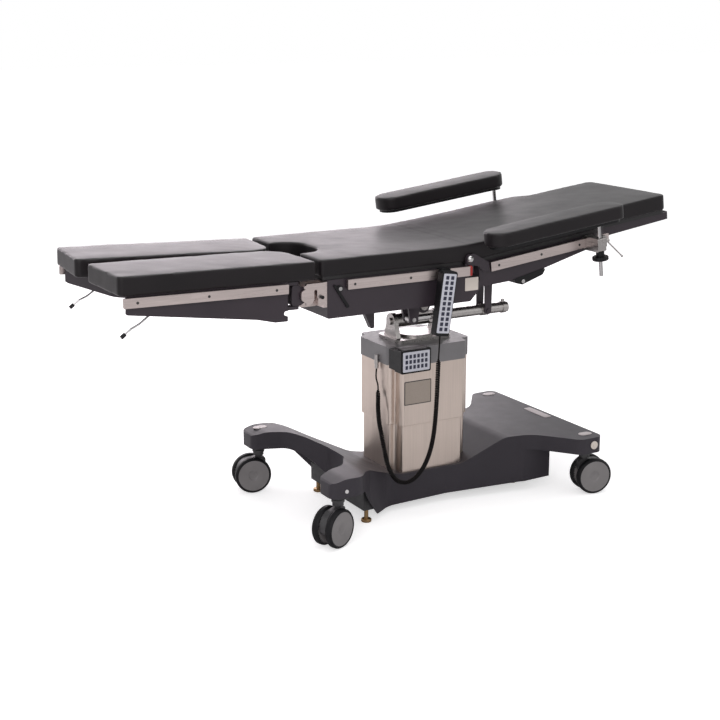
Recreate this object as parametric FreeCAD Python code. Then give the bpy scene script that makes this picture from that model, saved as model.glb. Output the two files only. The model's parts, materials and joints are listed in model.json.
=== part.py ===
import FreeCAD, Part
import math
import os
from FreeCAD import Vector

# Electro-hydraulic operating table on four castors, in millimetres.
# X runs to the head end, Y away from the operator's side, Z up from the floor.
# The model is built about the castor centre and shifted at the end, so that its
# origin is the floor point under the middle of the whole table.

# Running clearances and small gaps
RUN = 0.06
GAP = 0.4
SIDES = (-1, 1)

# Castors
WHEEL_R = 62.5
WHEEL_W = 25.0
WHEEL_SPACING = 52.0
TYRE_THICK = 9.0
AXLE_R = 6.0
STEM_R = 9.0
STEM_TRAIL = 26.0
HOOD_R = 52.0
HOOD_W = 24.0
SOCKET_R = 21.0
CASTOR_TOP = 2 * WHEEL_R + 21
SHOULDER_Z = 2 * WHEEL_R + 2
SHOULDER_R = 18.0
STEM_TOP = CASTOR_TOP + 38
# swivel angle of each castor as it stands, by corner
CASTORS = {
    "foot_near": (-1, -1, 24.0),
    "foot_far": (-1, 1, -12.0),
    "head_near": (1, -1, 168.0),
    "head_far": (1, 1, 200.0),
}

# Base, its arms at the height that the castors give
WHEEL_X = {-1: -475.0, 1: 485.0}
WHEEL_Y = 285.0
TIP_HALF = 44.0
TIP_R = 26.0
TIP_X = {s: WHEEL_X[s] + s * TIP_HALF for s in SIDES}
BASE_HALF = 135.0
BASE_FLARE = 184.0
BASE_RIGHT = 415.0
BASE_LOW_LEFT = 22.0
BASE_LOW_RIGHT = 38.0
BASE_TOP = 126.0
COVER_WALL = 5.0
SKIRT_X = 300.0
ARM_TOP_LEFT = CASTOR_TOP + 76
ARM_TOP_RIGHT = CASTOR_TOP + 59
ARM_LOW_LEFT = CASTOR_TOP + 16
ARM_LOW_RIGHT = CASTOR_TOP + 4
ARCH_X = -380.0
ARCH_FOOT = -270.0
BEAM_HALF = 20.0
BEAM_DROP = 12.0
CHASSIS_HALF = 112.0
CHASSIS_LOW = 44.0
CHASSIS_TOP = 112.0
CHASSIS_WALL = 6.0

# Levelling feet
FOOT_LEFT = (-306.0, 166.0)
FOOT_RIGHT = (330.0, 84.0)
FOOT_R = 17.0
FOOT_THICK = 11.0
FOOT_STEM_R = 7.0
FOOT_RETRACT = 14.0

# Column
COL_X0 = -182.0
COL_X1 = 129.0
COL_HALF = 93.0
PANEL_X0 = -155.0
PANEL_X1 = 94.0
PANEL_HALF = 133.0
COVER_SHEET = 1.5
MID_INSET = 3.6
LOWER_INSET = 7.6
LOWER_TOP = 384.0
MID_Z = (286.0, 455.0)
WIPER = 6.0
UPPER_Z0 = 288.0
COLLAR_Z = (490.0, 550.0)
COLLAR_OUT = 3.0
COLLAR_PLATE = 8.0
MAST_X = -27.0
MAST_RADII = ((62.0, 55.5), (55.0, 48.5), (48.0, 40.0))
MAST_SPANS = ((CHASSIS_TOP, 382.0), (200.0, 460.0), (285.0, 542.0))
LIFT_DOWN = 95.0
LIFT_UP = 150.0

# Head with the two tilting axes
ROLL_Z = 612.0
PITCH_Z = 665.0
ROLL_R = 12.0
PITCH_R = 14.0
HEAD_HALF_X = 93.0
HEAD_EAR = 16.0
HEAD_PLATE = 10.0
CRADLE_HALF = 39.0
LUG_Y = (44.0, 58.0)

# Seat section
SEAT_LEFT = -507.0
PAD_LOW = 838.0
SEAT_TOP = 890.0
PAD_HALF = 245.0
PLATE = 12.0
FRAME_HALF = PAD_HALF - 3
FRAME_WALL = 6.0
FRAME_LEFT = -485.0
FRAME_RIGHT = 24.0
FRAME_LOW = 708.0
PERINEAL_R = 104.0
PAD_CORNER = 14.0

# Hinge between seat and back
HINGE_X = 22.0
HINGE_Z = 847.0
BACK_RISE = 6.8
BACK_UP = 60.0
BACK_DOWN = 20.0
NOTCH_HALF = 33.0
EAR_R = 15.0
EAR_Y = (FRAME_HALF + 3.5, FRAME_HALF + 7.5)
BACK_EAR_Y = (EAR_Y[1] + 0.5, EAR_Y[1] + 5.5)
PIN_R = 7.0

# Back section, along the section from the hinge
BACK_LEN = 854.0
BACK_FRAME_PAST = 12.0
BACK_NARROW = (522.0, 570.0)
HEAD_HALF = 209.0
BACK_THICK = 53.5
BACK_FRAME_HALF = PAD_HALF - 13
BACK_FRAME_HEAD = HEAD_HALF - 13
RIB_HALF = BACK_FRAME_HEAD - 6

# Side rails
RAIL_Y = (FRAME_HALF + 8, FRAME_HALF + 18)
RAIL_HIGH = 30.0
SEAT_RAIL = (-423.0, 19.0)
SEAT_RAIL_TOP = 825.0
BACK_RAIL = (72.0, 548.0)
BACK_RAIL_TOP = -25.0
SPACER_R = 9.0

# Back cylinder: its rod eye on the seat frame, its trunnions in the arms of the back
RAM_Y = -150.0
RAM_Z = 652.0
RAM_EYE_X = -135.0
RAM_TRUNNION_X = 148.0
RAM_BARREL_X = (-58.0, 238.0)
RAM_BARREL_R = 17.0
RAM_RING_R = 19.5
RAM_ROD_R = 10.0
RAM_ROD_END = 122.0
RAM_PIN_R = 7.0
RAM_EAR = 19.0
RAM_ARM = (20.0, 27.0)

# Housing of the back's lock: outline from the side, and depth from the near edge
LOCK_PROFILE = ((206, 765, 3), (214, 747, 5), (241, 740, 8), (322, 766, 8), (332, 783, 5), (300, 806, 3))
LOCK_DEEP = 56.0

# Leg sections
KNEE_X = -560.0
KNEE_Z = 787.0
LEG_RISE = 1.5
LEG_UP = 7.0
LEG_DOWN = 90.0
SPREAD = {"near": 2.0, "far": 4.5}
ABDUCT_X = -585.0
ABDUCT_Y = PAD_HALF - 24
ABDUCT_R = 8.0
LEG_END = -1151.0
LEG_PAD_RIGHT = -526.0
LEG_PAD_IN = 4.0
LEG_PAD_OUT = PAD_HALF + 5
LEG_PAD_TOP = 102.0
LEG_PAD_THICK = 56.0
LEG_FRAME_RIGHT = -612.0
LEG_FRAME_LOW = 714.0
LEG_FRAME_IN = 16.0
LEG_FRAME_OUT = LEG_PAD_OUT - 10
LEG_RAIL = (-1140.0, -625.0)
LEG_RAIL_TOP = 829.0
LEG_RAIL_HIGH = 28.0
KNEE_R = 9.0
LINK_LOW = 30.0
LINK_TOP = 32.0
LUG_LOW = (LINK_LOW + 1, LINK_LOW + 11)
LUG_HALF = 14.0
BRACKET_T = 8.5
BRACKET_TOP = 35.0
BRACKET_RIGHT = -494.0
OUTER_LOW = 34.0
INNER_LOW = 43.0
BRACKET_SLOT = -526.0

# Release lever under each leg section
LEVER_ROUTE = ((-985.0, 816.0), (-1040.0, 762.0), (-1070.0, 740.0), (-1096.0, 728.0), (-1122.0, 708.0))
LEVER_Y = -(PAD_HALF - 49)
LEVER_HUB = 9.0
LEVER_PIN = 3.0

# Lock lever on each cheek of the seat frame
LOCK_PIVOT = (-444.0, 798.0)

# Arm boards: start, end, pivot and top along and above the back section
ARMS = {
    "near": (30.0, 546.0, 468.0, 87.0, -146.0),
    "far": (2.0, 518.0, 490.0, 129.0, -104.0),
}
ARM_Y = PAD_HALF + 66
ARM_HALF = 56.0
ARM_PAD = 46.0
ARM_BOARD = 9.0
ARM_BOARD_IN = 12.0
POST_R = 6.5
KNOB_R = 27.0
CLAMP_HALF = 17.0
JAW_LONG = 29.0
BAR_R = 2.6
BAR_REACH = (62.0, 66.0)

# Handset, panel and cord
HANDSET_X = -94.0
HANDSET_Z = (620.0, 826.0)
HANDSET_TILT = 8.0
HANDSET_W = 56.0
HANDSET_Y = (-RAIL_Y[1] - 36, -RAIL_Y[1] - 9)
HOOK_T = 3.7
KEYPAD_T = 2.0
PANEL_BOX = ((-184.0, -71.0), (-175.0, -136.4), (478.0, 556.0))
CORD_R = 2.6
COIL_R = 7.25
SOCKET_X = -193.0
SOCKET_Y = -36.0
# Route of the curly cord, chosen by hand: thin lead, coil, thin tail
LEAD_ROUTE = ((-107.5, -282, 619.5), (-108, -281.5, 595), (-109, -281, 570), (-110, -280, 545))
COIL_ROUTE = (
    (-110, -280, 545),
    (-112.5, -280.5, 480),
    (-114, -279, 412),
    (-116, -276, 345),
    (-118, -268, 280),
    (-124, -253, 218),
    (-136, -232, 165),
    (-155, -206, 125),
    (-180, -180, 112),
    (-207, -172, 132),
    (-228, -168, 178),
    (-241, -169, 233),
    (-240, -150, 278),
    (-230, -115, 315),
    (-213, -80, 348),
    (-199, -57, 375),
    (-193, -46, 400),
)
TAIL_ROUTE = ((-193, -46, 400), (-191, -42, 416), (-196, -38, 434), (-195, -35.5, 452), (-193, -36, 470))


def area(points):
    total = 0.0
    for i, p in enumerate(points):
        q = points[(i + 1) % len(points)]
        total += p[0] * q[1] - q[0] * p[1]
    return total / 2


def inset(points, d):
    """The outline moved inwards by d, with its corner radii adjusted."""
    turn = 1 if area(points) > 0 else -1
    out = []
    n = len(points)
    for i in range(n):
        a, b, c = points[i - 1], points[i], points[(i + 1) % n]
        d1 = Vector(b[0] - a[0], b[1] - a[1], 0).normalize()
        d2 = Vector(c[0] - b[0], c[1] - b[1], 0).normalize()
        n1 = Vector(-d1.y, d1.x, 0) * turn
        n2 = Vector(-d2.y, d2.x, 0) * turn
        mitre = (n1 + n2) * (d / (1 + n1.dot(n2)))
        r = b[2] if len(b) > 2 else 0.0
        convex = (d1.x * d2.y - d1.y * d2.x) * turn > 0
        if r:
            r = max(r - d, 0.0) if convex else r + d
        out.append((b[0] + mitre.x, b[1] + mitre.y, r))
    return out


def outline(points, place):
    """A closed wire through the points, each corner rounded by its radius."""
    n = len(points)
    corners = []
    for i in range(n):
        a, b, c = (Vector(p[0], p[1], 0) for p in (points[i - 1], points[i], points[(i + 1) % n]))
        r = points[i][2] if len(points[i]) > 2 else 0.0
        u, v = (a - b).normalize(), (c - b).normalize()
        half = u.getAngle(v) / 2
        if r < 0.05 or half > math.pi / 2 - 0.01:
            corners.append((b, b, b))
            continue
        t = r / math.tan(half)
        centre = b + (u + v).normalize() * (r / math.sin(half))
        middle = centre + (b - centre).normalize() * r
        corners.append((b + u * t, middle, b + v * t))
    edges = []
    for i in range(n):
        start, middle, end = corners[i]
        if (start - end).Length > 1e-6:
            edges.append(Part.Arc(place(start), place(middle), place(end)).toShape())
        following = corners[(i + 1) % n][0]
        if (following - end).Length > 1e-6:
            edges.append(Part.LineSegment(place(end), place(following)).toShape())
    return Part.Wire(edges)


def slab(points, plane, low, high):
    """A prism of a rounded outline, from low to high across its plane."""
    if plane == "xy":
        wire = outline(points, lambda p: Vector(p.x, p.y, low))
        way = Vector(0, 0, high - low)
    elif plane == "xz":
        wire = outline(points, lambda p: Vector(p.x, low, p.y))
        way = Vector(0, high - low, 0)
    else:
        wire = outline(points, lambda p: Vector(low, p.x, p.y))
        way = Vector(high - low, 0, 0)
    return Part.Face(wire).extrude(way)


def box(xs, ys, zs):
    return Part.makeBox(
        xs[1] - xs[0], ys[1] - ys[0], zs[1] - zs[0], Vector(xs[0], ys[0], zs[0])
    )


def rod(a, b, r):
    a, b = Vector(*a), Vector(*b)
    return Part.makeCylinder(r, (b - a).Length, a, b - a)


def tube(a, b, outer, inner):
    return rod(a, b, outer).cut(rod(a, b, inner))


def fuse(shapes):
    shapes = list(shapes)
    joined = shapes[0].multiFuse(shapes[1:]) if len(shapes) > 1 else shapes[0]
    return joined.removeSplitter()


def cut(shape, tools):
    for tool in tools:
        shape = shape.cut(tool)
    return shape


def mirrored(shape):
    """The same piece on the far side of the table."""
    return shape.mirror(Vector(0, 0, 0), Vector(0, 1, 0))


def on_side(side, shape):
    return shape if side == "near" else mirrored(shape)


def tilted(shape, rise, x=HINGE_X, z=HINGE_Z):
    """Turned about the hinge axis so that its +X end rises."""
    turned = shape.copy()
    turned.rotate(Vector(x, 0, z), Vector(0, 1, 0), -rise)
    return turned


def rect(u0, u1, v0, v1, r=0.0):
    return [(u0, v0, r), (u1, v0, r), (u1, v1, r), (u0, v1, r)]


def hanger(cx, cz, r, half, top):
    """An outline of a round end about (cx, cz) that widens upwards to a root at top."""
    k = r * (math.sqrt(2) - 1)
    return [(cx - r, cz + k, 0), (cx - r, cz - r, r), (cx + r, cz - r, r), (cx + r, cz + k, 0),
            (cx + half, top, 0), (cx - half, top, 0)]


def lobe(cx, cz, r, corners):
    """An outline of a round end about (cx, cz) that runs on to the corners given."""
    k = r * (math.sqrt(2) - 1)
    first = [(cx - r, cz - k, 0), (cx - r, cz + r, r), (cx + r, cz + r, r), (cx + r, cz - k, 0)]
    return first + list(corners)


def base_plan():
    near = [
        (-330, -60, 60),
        (WHEEL_X[-1] + 65, -200, 70),
        (TIP_X[-1], -WHEEL_Y + TIP_HALF, TIP_R),
        (TIP_X[-1], -WHEEL_Y - TIP_HALF, TIP_R),
        (WHEEL_X[-1] + 62, -WHEEL_Y - TIP_HALF, 50),
        (-318, -208, 50),
        (-205, -BASE_HALF, 90),
        (20, -BASE_HALF, 90),
        (330, -BASE_FLARE, 120),
        (WHEEL_X[1] - 47, -WHEEL_Y - TIP_HALF, 40),
        (TIP_X[1], -WHEEL_Y - TIP_HALF, TIP_R),
    ]
    far = [(x, -y, r) for x, y, r in reversed(near)]
    return near + far


def base_profile(low_left, low_right, drop):
    """Side outline of the base cover, its top lowered by drop."""
    left, right = TIP_X[-1] - 1, TIP_X[1] + 1
    return [
        (left, low_left, 0),
        (left, ARM_TOP_LEFT - 12 - drop, 12),
        (WHEEL_X[-1] + 5, ARM_TOP_LEFT - drop, 90),
        (-383, ARM_TOP_LEFT - 3 - drop, 110),
        (-205, BASE_TOP + 12 - drop, 120),
        (-150, BASE_TOP - drop, 60),
        (75, BASE_TOP - drop, 90),
        (235, ARM_TOP_RIGHT - 4 - drop, 90),
        (right, ARM_TOP_RIGHT - drop, 0),
        (right, low_right, 0),
    ]


def base_cover():
    plan = base_plan()
    side = WHEEL_Y + TIP_HALF + 1
    left, right = TIP_X[-1] - 1, TIP_X[1] + 1
    lower = [
        (left, ARM_LOW_LEFT, 0),
        (ARCH_X, ARM_LOW_LEFT, 80),
        (ARCH_FOOT, BASE_LOW_LEFT, 8),
        (BASE_RIGHT, BASE_LOW_RIGHT, 0),
        (BASE_RIGHT, ARM_LOW_RIGHT, 10),
        (right, ARM_LOW_RIGHT, 0),
    ]
    top = [p for p in base_profile(0, 0, 0)[1:-1]]
    whole = slab(plan, "xy", 0, ARM_TOP_LEFT + 1).common(
        slab(lower + top[::-1], "xz", -side, side)
    )
    for s in SIDES:
        ys = sorted((s * BASE_FLARE, s * side))
        whole = whole.cut(box((SKIRT_X, BASE_RIGHT + 20), ys, (0, ARM_LOW_RIGHT)))
    hollow = slab(inset(plan, COVER_WALL), "xy", -1, ARM_TOP_LEFT).common(
        slab(base_profile(-1, -1, COVER_WALL), "xz", -side, side)
    )
    end_wall = box((BASE_RIGHT - COVER_WALL, BASE_RIGHT + 1), (-side, side), (0, ARM_LOW_RIGHT + 2))
    for s in SIDES:
        ys = sorted((s * (BASE_FLARE - COVER_WALL), s * side))
        hollow = hollow.cut(box((SKIRT_X, BASE_RIGHT + 1), ys, (0, ARM_LOW_RIGHT + 2)))
    hollow = hollow.cut(end_wall)
    shell = whole.cut(hollow)
    shell = shell.cut(slab(column_plan(LOWER_INSET - GAP), "xy", 0, ARM_TOP_LEFT))
    sockets = [
        rod((WHEEL_X[sx], sy * WHEEL_Y, 0), (WHEEL_X[sx], sy * WHEEL_Y, CASTOR_TOP + 14), SOCKET_R + GAP)
        for sx in SIDES
        for sy in SIDES
    ]
    return cut(shell, sockets)


def column_plan(inward):
    near = [
        (COL_X0, -COL_HALF, 14),
        (PANEL_X0, -COL_HALF, 5),
        (PANEL_X0, -PANEL_HALF, 14),
        (PANEL_X1, -PANEL_HALF, 14),
        (PANEL_X1, -COL_HALF, 5),
        (COL_X1, -COL_HALF, 14),
    ]
    far = [(x, -y, r) for x, y, r in reversed(near)]
    return inset(near + far, inward)


def column_tube(inward, wall, z0, z1):
    outer = slab(column_plan(inward), "xy", z0, z1)
    return outer.cut(slab(column_plan(inward + wall), "xy", z0, z1))


def chassis_beam(sx, sy):
    """Arched arm inside the cover, from the box to a castor socket."""
    start = Vector(sx * 250, sy * 60, 0)
    tip = Vector(WHEEL_X[sx], sy * WHEEL_Y, 0)
    along = (tip - start).normalize()
    across = Vector(-along.y, along.x, 0) * BEAM_HALF
    strip = [start - across, tip - across, tip + across, start + across]
    plan = [(p.x, p.y, 0) for p in strip]
    low = (ARM_LOW_LEFT if sx < 0 else ARM_LOW_RIGHT) + BEAM_DROP
    drop = COVER_WALL + BEAM_DROP
    knee = -ARCH_FOOT + 16 if sx < 0 else BASE_RIGHT - 20
    beam = slab(plan, "xy", CHASSIS_LOW, ARM_TOP_LEFT)
    beam = beam.common(slab(base_profile(CHASSIS_LOW, CHASSIS_LOW, drop), "xz", -400, 400))
    arm = beam.common(box((-600, 600), (-400, 400), (low, ARM_TOP_LEFT)))
    foot = beam.common(box(sorted((sx * 200, sx * knee)), (-400, 400), (CHASSIS_LOW, low + 1)))
    socket = rod((tip.x, tip.y, CASTOR_TOP + 2), (tip.x, tip.y, STEM_TOP + 6), SOCKET_R)
    return fuse([arm, foot, socket])


def chassis_room():
    """The space that the cover leaves for the chassis."""
    side = WHEEL_Y + TIP_HALF
    low = (0, ARM_LOW_RIGHT + 2 + GAP)
    room = slab(inset(base_plan(), COVER_WALL + GAP), "xy", 0, ARM_TOP_LEFT)
    room = room.cut(box((BASE_RIGHT - COVER_WALL - GAP, BASE_RIGHT + 1), (-side, side), low))
    for s in SIDES:
        ys = sorted((s * (BASE_FLARE - COVER_WALL - GAP), s * side))
        room = room.cut(box((SKIRT_X - GAP, BASE_RIGHT + 1), ys, low))
    return room


def base_chassis():
    xs = (ARCH_FOOT - 30, BASE_RIGHT - COVER_WALL - 3)
    ys = (-CHASSIS_HALF, CHASSIS_HALF)
    zs = (CHASSIS_LOW, CHASSIS_TOP)
    w = CHASSIS_WALL
    body = box(xs, ys, zs)
    cross = box((FOOT_LEFT[0] - 19, FOOT_LEFT[0] + 24), (-182, 182), (CHASSIS_LOW, CHASSIS_TOP - 8))
    beams = [chassis_beam(sx, sy) for sx in SIDES for sy in SIDES]
    whole = fuse([body, cross] + beams).common(chassis_room())
    inner = box((xs[0] + w, xs[1] - w), (ys[0] + w, ys[1] - w), (zs[0] + w, zs[1] - w))
    whole = whole.cut(inner)
    for x, y in (FOOT_LEFT, FOOT_RIGHT):
        for s in SIDES:
            sleeve = rod((x, s * y, CHASSIS_LOW), (x, s * y, CHASSIS_TOP - w), FOOT_STEM_R + 5)
            bore = rod((x, s * y, 0), (x, s * y, CHASSIS_TOP - w - 4), FOOT_STEM_R + RUN)
            whole = whole.fuse(sleeve).cut(bore)
    for sx in SIDES:
        for sy in SIDES:
            at = (WHEEL_X[sx], sy * WHEEL_Y)
            whole = whole.cut(rod((*at, CASTOR_TOP - 46), (*at, STEM_TOP + 4), STEM_R + RUN))
    return whole


def power_unit():
    """Pump with its motor and the two batteries on the chassis floor."""
    floor = CHASSIS_LOW + CHASSIS_WALL
    pump = box((150, 210), (-40, 40), (floor, floor + 50))
    motor = rod((210, 0, floor + 26), (300, 0, floor + 26), 25)
    cells = [box((105, 255), sorted((s * 48, s * 98)), (floor, floor + 46)) for s in SIDES]
    return [pump, motor] + cells


def brake_feet():
    feet = []
    for x, y in (FOOT_LEFT, FOOT_RIGHT):
        for s in SIDES:
            pad = rod((x, s * y, 0), (x, s * y, FOOT_THICK), FOOT_R)
            pad = pad.makeChamfer(2.0, pad.Edges)
            stem = rod((x, s * y, FOOT_THICK), (x, s * y, 80), FOOT_STEM_R)
            feet.append(pad.fuse(stem))
    return feet


def castor_yoke():
    """Swivel stem, hood and axle web of a twin-wheel castor, its stem at the origin."""
    web = slab(
        [(-HOOD_R - STEM_TRAIL, WHEEL_R - 16, 16), (-HOOD_R - STEM_TRAIL, WHEEL_R + HOOD_R, 46),
         (22, WHEEL_R + HOOD_R + 10, 14), (22, WHEEL_R + 20, 24), (-STEM_TRAIL + 16, WHEEL_R - 16, 14)],
        "xz", -HOOD_W / 2, HOOD_W / 2,
    )
    neck = rod((0, 0, WHEEL_R + HOOD_R), (0, 0, CASTOR_TOP), 12)
    shoulder = rod((0, 0, SHOULDER_Z), (0, 0, CASTOR_TOP), SHOULDER_R)
    ring = rod((0, 0, CASTOR_TOP - 7), (0, 0, CASTOR_TOP), SOCKET_R)
    stem = rod((0, 0, CASTOR_TOP), (0, 0, STEM_TOP), STEM_R)
    bore = rod((-STEM_TRAIL, -40, WHEEL_R), (-STEM_TRAIL, 40, WHEEL_R), AXLE_R + RUN)
    return fuse([web, neck, shoulder, ring, stem]).cut(bore)


def castor_wheels():
    """Two dished wheels on one axle."""
    reach = WHEEL_SPACING / 2 + WHEEL_W / 2
    axle = rod((-STEM_TRAIL, -reach + 6, WHEEL_R), (-STEM_TRAIL, reach - 6, WHEEL_R), AXLE_R)
    wheels = []
    for s in SIDES:
        mid = s * WHEEL_SPACING / 2
        half = WHEEL_W / 2
        face = [
            (0.0, -half + 7), (14, -half + 7), (18, -half + 4), (WHEEL_R - TYRE_THICK, -half + 2),
            (WHEEL_R - 5, -half), (WHEEL_R, -half + 6, 5), (WHEEL_R, half - 6, 5), (WHEEL_R - 5, half),
            (16, half - 2), (14, half), (0.0, half),
        ]
        flip = 1 if s > 0 else -1
        wire = outline([(p[0], -flip * p[1]) + tuple(p[2:]) for p in face], lambda p: Vector(p.x, p.y, 0))
        wheel = Part.Face(wire).revolve(Vector(0, 0, 0), Vector(0, 1, 0), 360)
        wheel.translate(Vector(-STEM_TRAIL, mid, WHEEL_R))
        wheels.append(wheel)
    return fuse([axle] + wheels)


def castor_place(shape, corner):
    sx, sy, angle = CASTORS[corner]
    moved = shape.copy()
    moved.rotate(Vector(0, 0, 0), Vector(0, 0, 1), angle)
    moved.translate(Vector(WHEEL_X[sx], sy * WHEEL_Y, 0))
    return moved


def middle_column_cover():
    """Telescopic cover with a wiper at its foot and a guide band at its head."""
    z0, z1 = MID_Z
    sheet = column_tube(MID_INSET, COVER_SHEET, z0, z1)
    wiper = column_tube(MID_INSET, LOWER_INSET - MID_INSET - GAP, z0, z0 + WIPER)
    band = column_tube(COVER_SHEET + GAP, MID_INSET - GAP, z1 - WIPER, z1)
    return fuse([sheet, wiper, band])


def column_collar():
    skirt = column_tube(-COLLAR_OUT, COLLAR_OUT - GAP, COLLAR_Z[0], COLLAR_Z[1] - COLLAR_PLATE)
    lid = slab(column_plan(-COLLAR_OUT), "xy", COLLAR_Z[1] - COLLAR_PLATE, COLLAR_Z[1])
    return fuse([skirt, lid])


def mast(stage):
    outer, inner = MAST_RADII[stage]
    z0, z1 = MAST_SPANS[stage]
    return tube((MAST_X, 0, z0), (MAST_X, 0, z1), outer, inner)


def control_panel():
    xs, ys, zs = PANEL_BOX
    front = slab(rect(xs[0], xs[1], zs[0], zs[1], 6), "xz", ys[0], ys[1])
    wing = box((xs[0], PANEL_X0 - 3.4), (ys[1] - 1, -100), (zs[0] + 6, COLLAR_Z[1] - 2))
    return fuse([front, wing])


def panel_keypad():
    xs, ys, zs = PANEL_BOX
    return slab(rect(xs[0] + 7, xs[1] - 6, zs[0] + 6, zs[1] - 7, 3), "xz", ys[0] - KEYPAD_T, ys[0])


def column_head():
    x0, x1 = MAST_X - HEAD_HALF_X, MAST_X + HEAD_HALF_X
    z0 = COLLAR_Z[1]
    foot = slab(rect(x0 - 12, x1 + 12, -70, 70, 22), "xy", z0, z0 + HEAD_PLATE)
    turret = rod((MAST_X, 0, z0 + HEAD_PLATE), (MAST_X, 0, z0 + 18), 62)
    parts = [foot, turret]
    for xs in ((x0, x0 + HEAD_EAR), (x1 - HEAD_EAR, x1)):
        ear = slab(lobe(0, ROLL_Z, 27, [(44, z0, 0), (-44, z0, 0)]), "yz", xs[0], xs[1])
        parts.append(ear)
    body = fuse(parts).cut(rod((x0 - 5, 0, ROLL_Z), (x1 + 5, 0, ROLL_Z), ROLL_R))
    shaft = rod((x0 - 7, 0, ROLL_Z), (x1 + 7, 0, ROLL_Z), ROLL_R)
    return [body, shaft]


def tilt_cradle():
    x0, x1 = MAST_X - HEAD_HALF_X + HEAD_EAR + 1, MAST_X + HEAD_HALF_X - HEAD_EAR - 1
    sleeve = rod((x0, 0, ROLL_Z), (x1, 0, ROLL_Z), 23)
    pillar = slab(
        lobe(MAST_X, PITCH_Z, 24, [(MAST_X + 34, ROLL_Z - 4, 8), (MAST_X - 34, ROLL_Z - 4, 8)]),
        "xz", -CRADLE_HALF, CRADLE_HALF,
    )
    body = fuse([sleeve, pillar])
    body = body.cut(rod((x0 - 1, 0, ROLL_Z), (x1 + 1, 0, ROLL_Z), ROLL_R + RUN))
    span = LUG_Y[1] + 6
    body = body.cut(rod((MAST_X, -span, PITCH_Z), (MAST_X, span, PITCH_Z), PITCH_R))
    shaft = rod((MAST_X, -span, PITCH_Z), (MAST_X, span, PITCH_Z), PITCH_R)
    return [body, shaft]


def seat_frame():
    low, top = FRAME_LOW, PAD_LOW - PLATE
    cheek = [
        (FRAME_LEFT, low, 8), (32, low, 10), (70, 747, 4), (74, 775, 4),
        (FRAME_RIGHT, 761, 6), (FRAME_RIGHT, top, 0), (FRAME_LEFT, top, 0),
    ]
    h, w = FRAME_HALF, FRAME_WALL
    parts = [slab(cheek, "xz", -h, -h + w), slab(cheek, "xz", h - w, h)]
    parts.append(box((FRAME_LEFT + 4, FRAME_RIGHT), (-h + 1, h - 1), (low, low + w)))
    parts.append(box((FRAME_LEFT, FRAME_LEFT + w), (-h + 1, h - 1), (low + 4, top)))
    parts.append(box((-200, -194), (-h + 1, h - 1), (low, top)))
    for s in SIDES:
        lug = hanger(MAST_X, PITCH_Z, 24, 46, low + 1)
        ys = sorted((s * LUG_Y[0], s * LUG_Y[1]))
        parts.append(slab(lug, "xz", *ys))
        anchor = [(-280, low + 1), (-280, 674, 6), (-258, 626, 4), (-246, 626, 4), (-246, low + 1)]
        parts.append(slab(anchor, "xz", *sorted((s * 92, s * 112))))
        ear = [
            (HINGE_X - 16, top - 26, 4), (HINGE_X + EAR_R, top - 26, 4),
            (HINGE_X + EAR_R, HINGE_Z + EAR_R, EAR_R), (HINGE_X - EAR_R, HINGE_Z + EAR_R, EAR_R),
            (HINGE_X - EAR_R, HINGE_Z - EAR_R, 0), (HINGE_X - 16, HINGE_Z - EAR_R, 0),
        ]
        parts.append(slab(ear, "xz", *sorted((s * EAR_Y[0], s * EAR_Y[1]))))
        packer = rect(HINGE_X - 14, FRAME_RIGHT, top - 24, top - 2)
        parts.append(slab(packer, "xz", *sorted((s * (h - 1), s * (EAR_Y[0] + 1)))))
        ys = (RAM_Y + s * RAM_EAR - 4, RAM_Y + s * RAM_EAR + 4)
        parts.append(slab(hanger(RAM_EYE_X, RAM_Z, 16, 24, low + 1), "xz", *ys))
    body = fuse(parts)
    slot = (RAM_Y - RAM_RING_R - 3, RAM_Y + RAM_RING_R + 3)
    swing = box((RAM_EYE_X + 38, FRAME_RIGHT + 60), slot, (low - 1, low + w + 1))
    body = body.cut(swing)
    body = body.cut(rod((MAST_X, -80, PITCH_Z), (MAST_X, 80, PITCH_Z), PITCH_R + RUN))
    for s in SIDES:
        ends = sorted((s * (EAR_Y[0] - 1), s * (EAR_Y[1] + 1)))
        body = body.cut(rod((HINGE_X, ends[0], HINGE_Z), (HINGE_X, ends[1], HINGE_Z), PIN_R))
    return body.cut(rod((RAM_EYE_X, RAM_Y - 30, RAM_Z), (RAM_EYE_X, RAM_Y + 30, RAM_Z), RAM_PIN_R + RUN))


def perineal_tool(z0, z1, grow=0.0):
    r = PERINEAL_R - grow
    points = [(SEAT_LEFT - 20, -r, 0), (SEAT_LEFT + 4, -r, 0), (SEAT_LEFT + 92, -r, 78),
              (SEAT_LEFT + 92, r, 78), (SEAT_LEFT + 4, r, 0), (SEAT_LEFT - 20, r, 0)]
    return slab(points, "xy", z0, z1)


def seat_plate():
    zs = (PAD_LOW - PLATE, PAD_LOW)
    plate = slab(rect(SEAT_LEFT + 8, HINGE_X - 12, -PAD_HALF + 8, PAD_HALF - 8, 10), "xy", *zs)
    return plate.cut(perineal_tool(zs[0] - 1, zs[1] + 1, 2))


def seat_pad():
    plan = rect(SEAT_LEFT, HINGE_X - 4, -PAD_HALF, PAD_HALF, PAD_CORNER)
    plan = [plan[0], (plan[1][0], plan[1][1], 0), (plan[2][0], plan[2][1], 0), plan[3]]
    pad = slab(plan, "xy", PAD_LOW, SEAT_TOP)
    pad = pad.cut(perineal_tool(PAD_LOW - 1, SEAT_TOP + 1))
    return pad.cut(notch(-1, SEAT_TOP))


def notch(way, top):
    """The wedge taken off a pad's end so that the sections can fold up."""
    edge = HINGE_X + way * 5
    back = edge + way * NOTCH_HALF
    past = HINGE_X - way * 60
    wedge = [(edge, PAD_LOW + 6), (back, top + 1), (past, top + 1), (past, PAD_LOW + 6)]
    return slab(wedge, "xz", -PAD_HALF - 1, PAD_HALF + 1)


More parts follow.
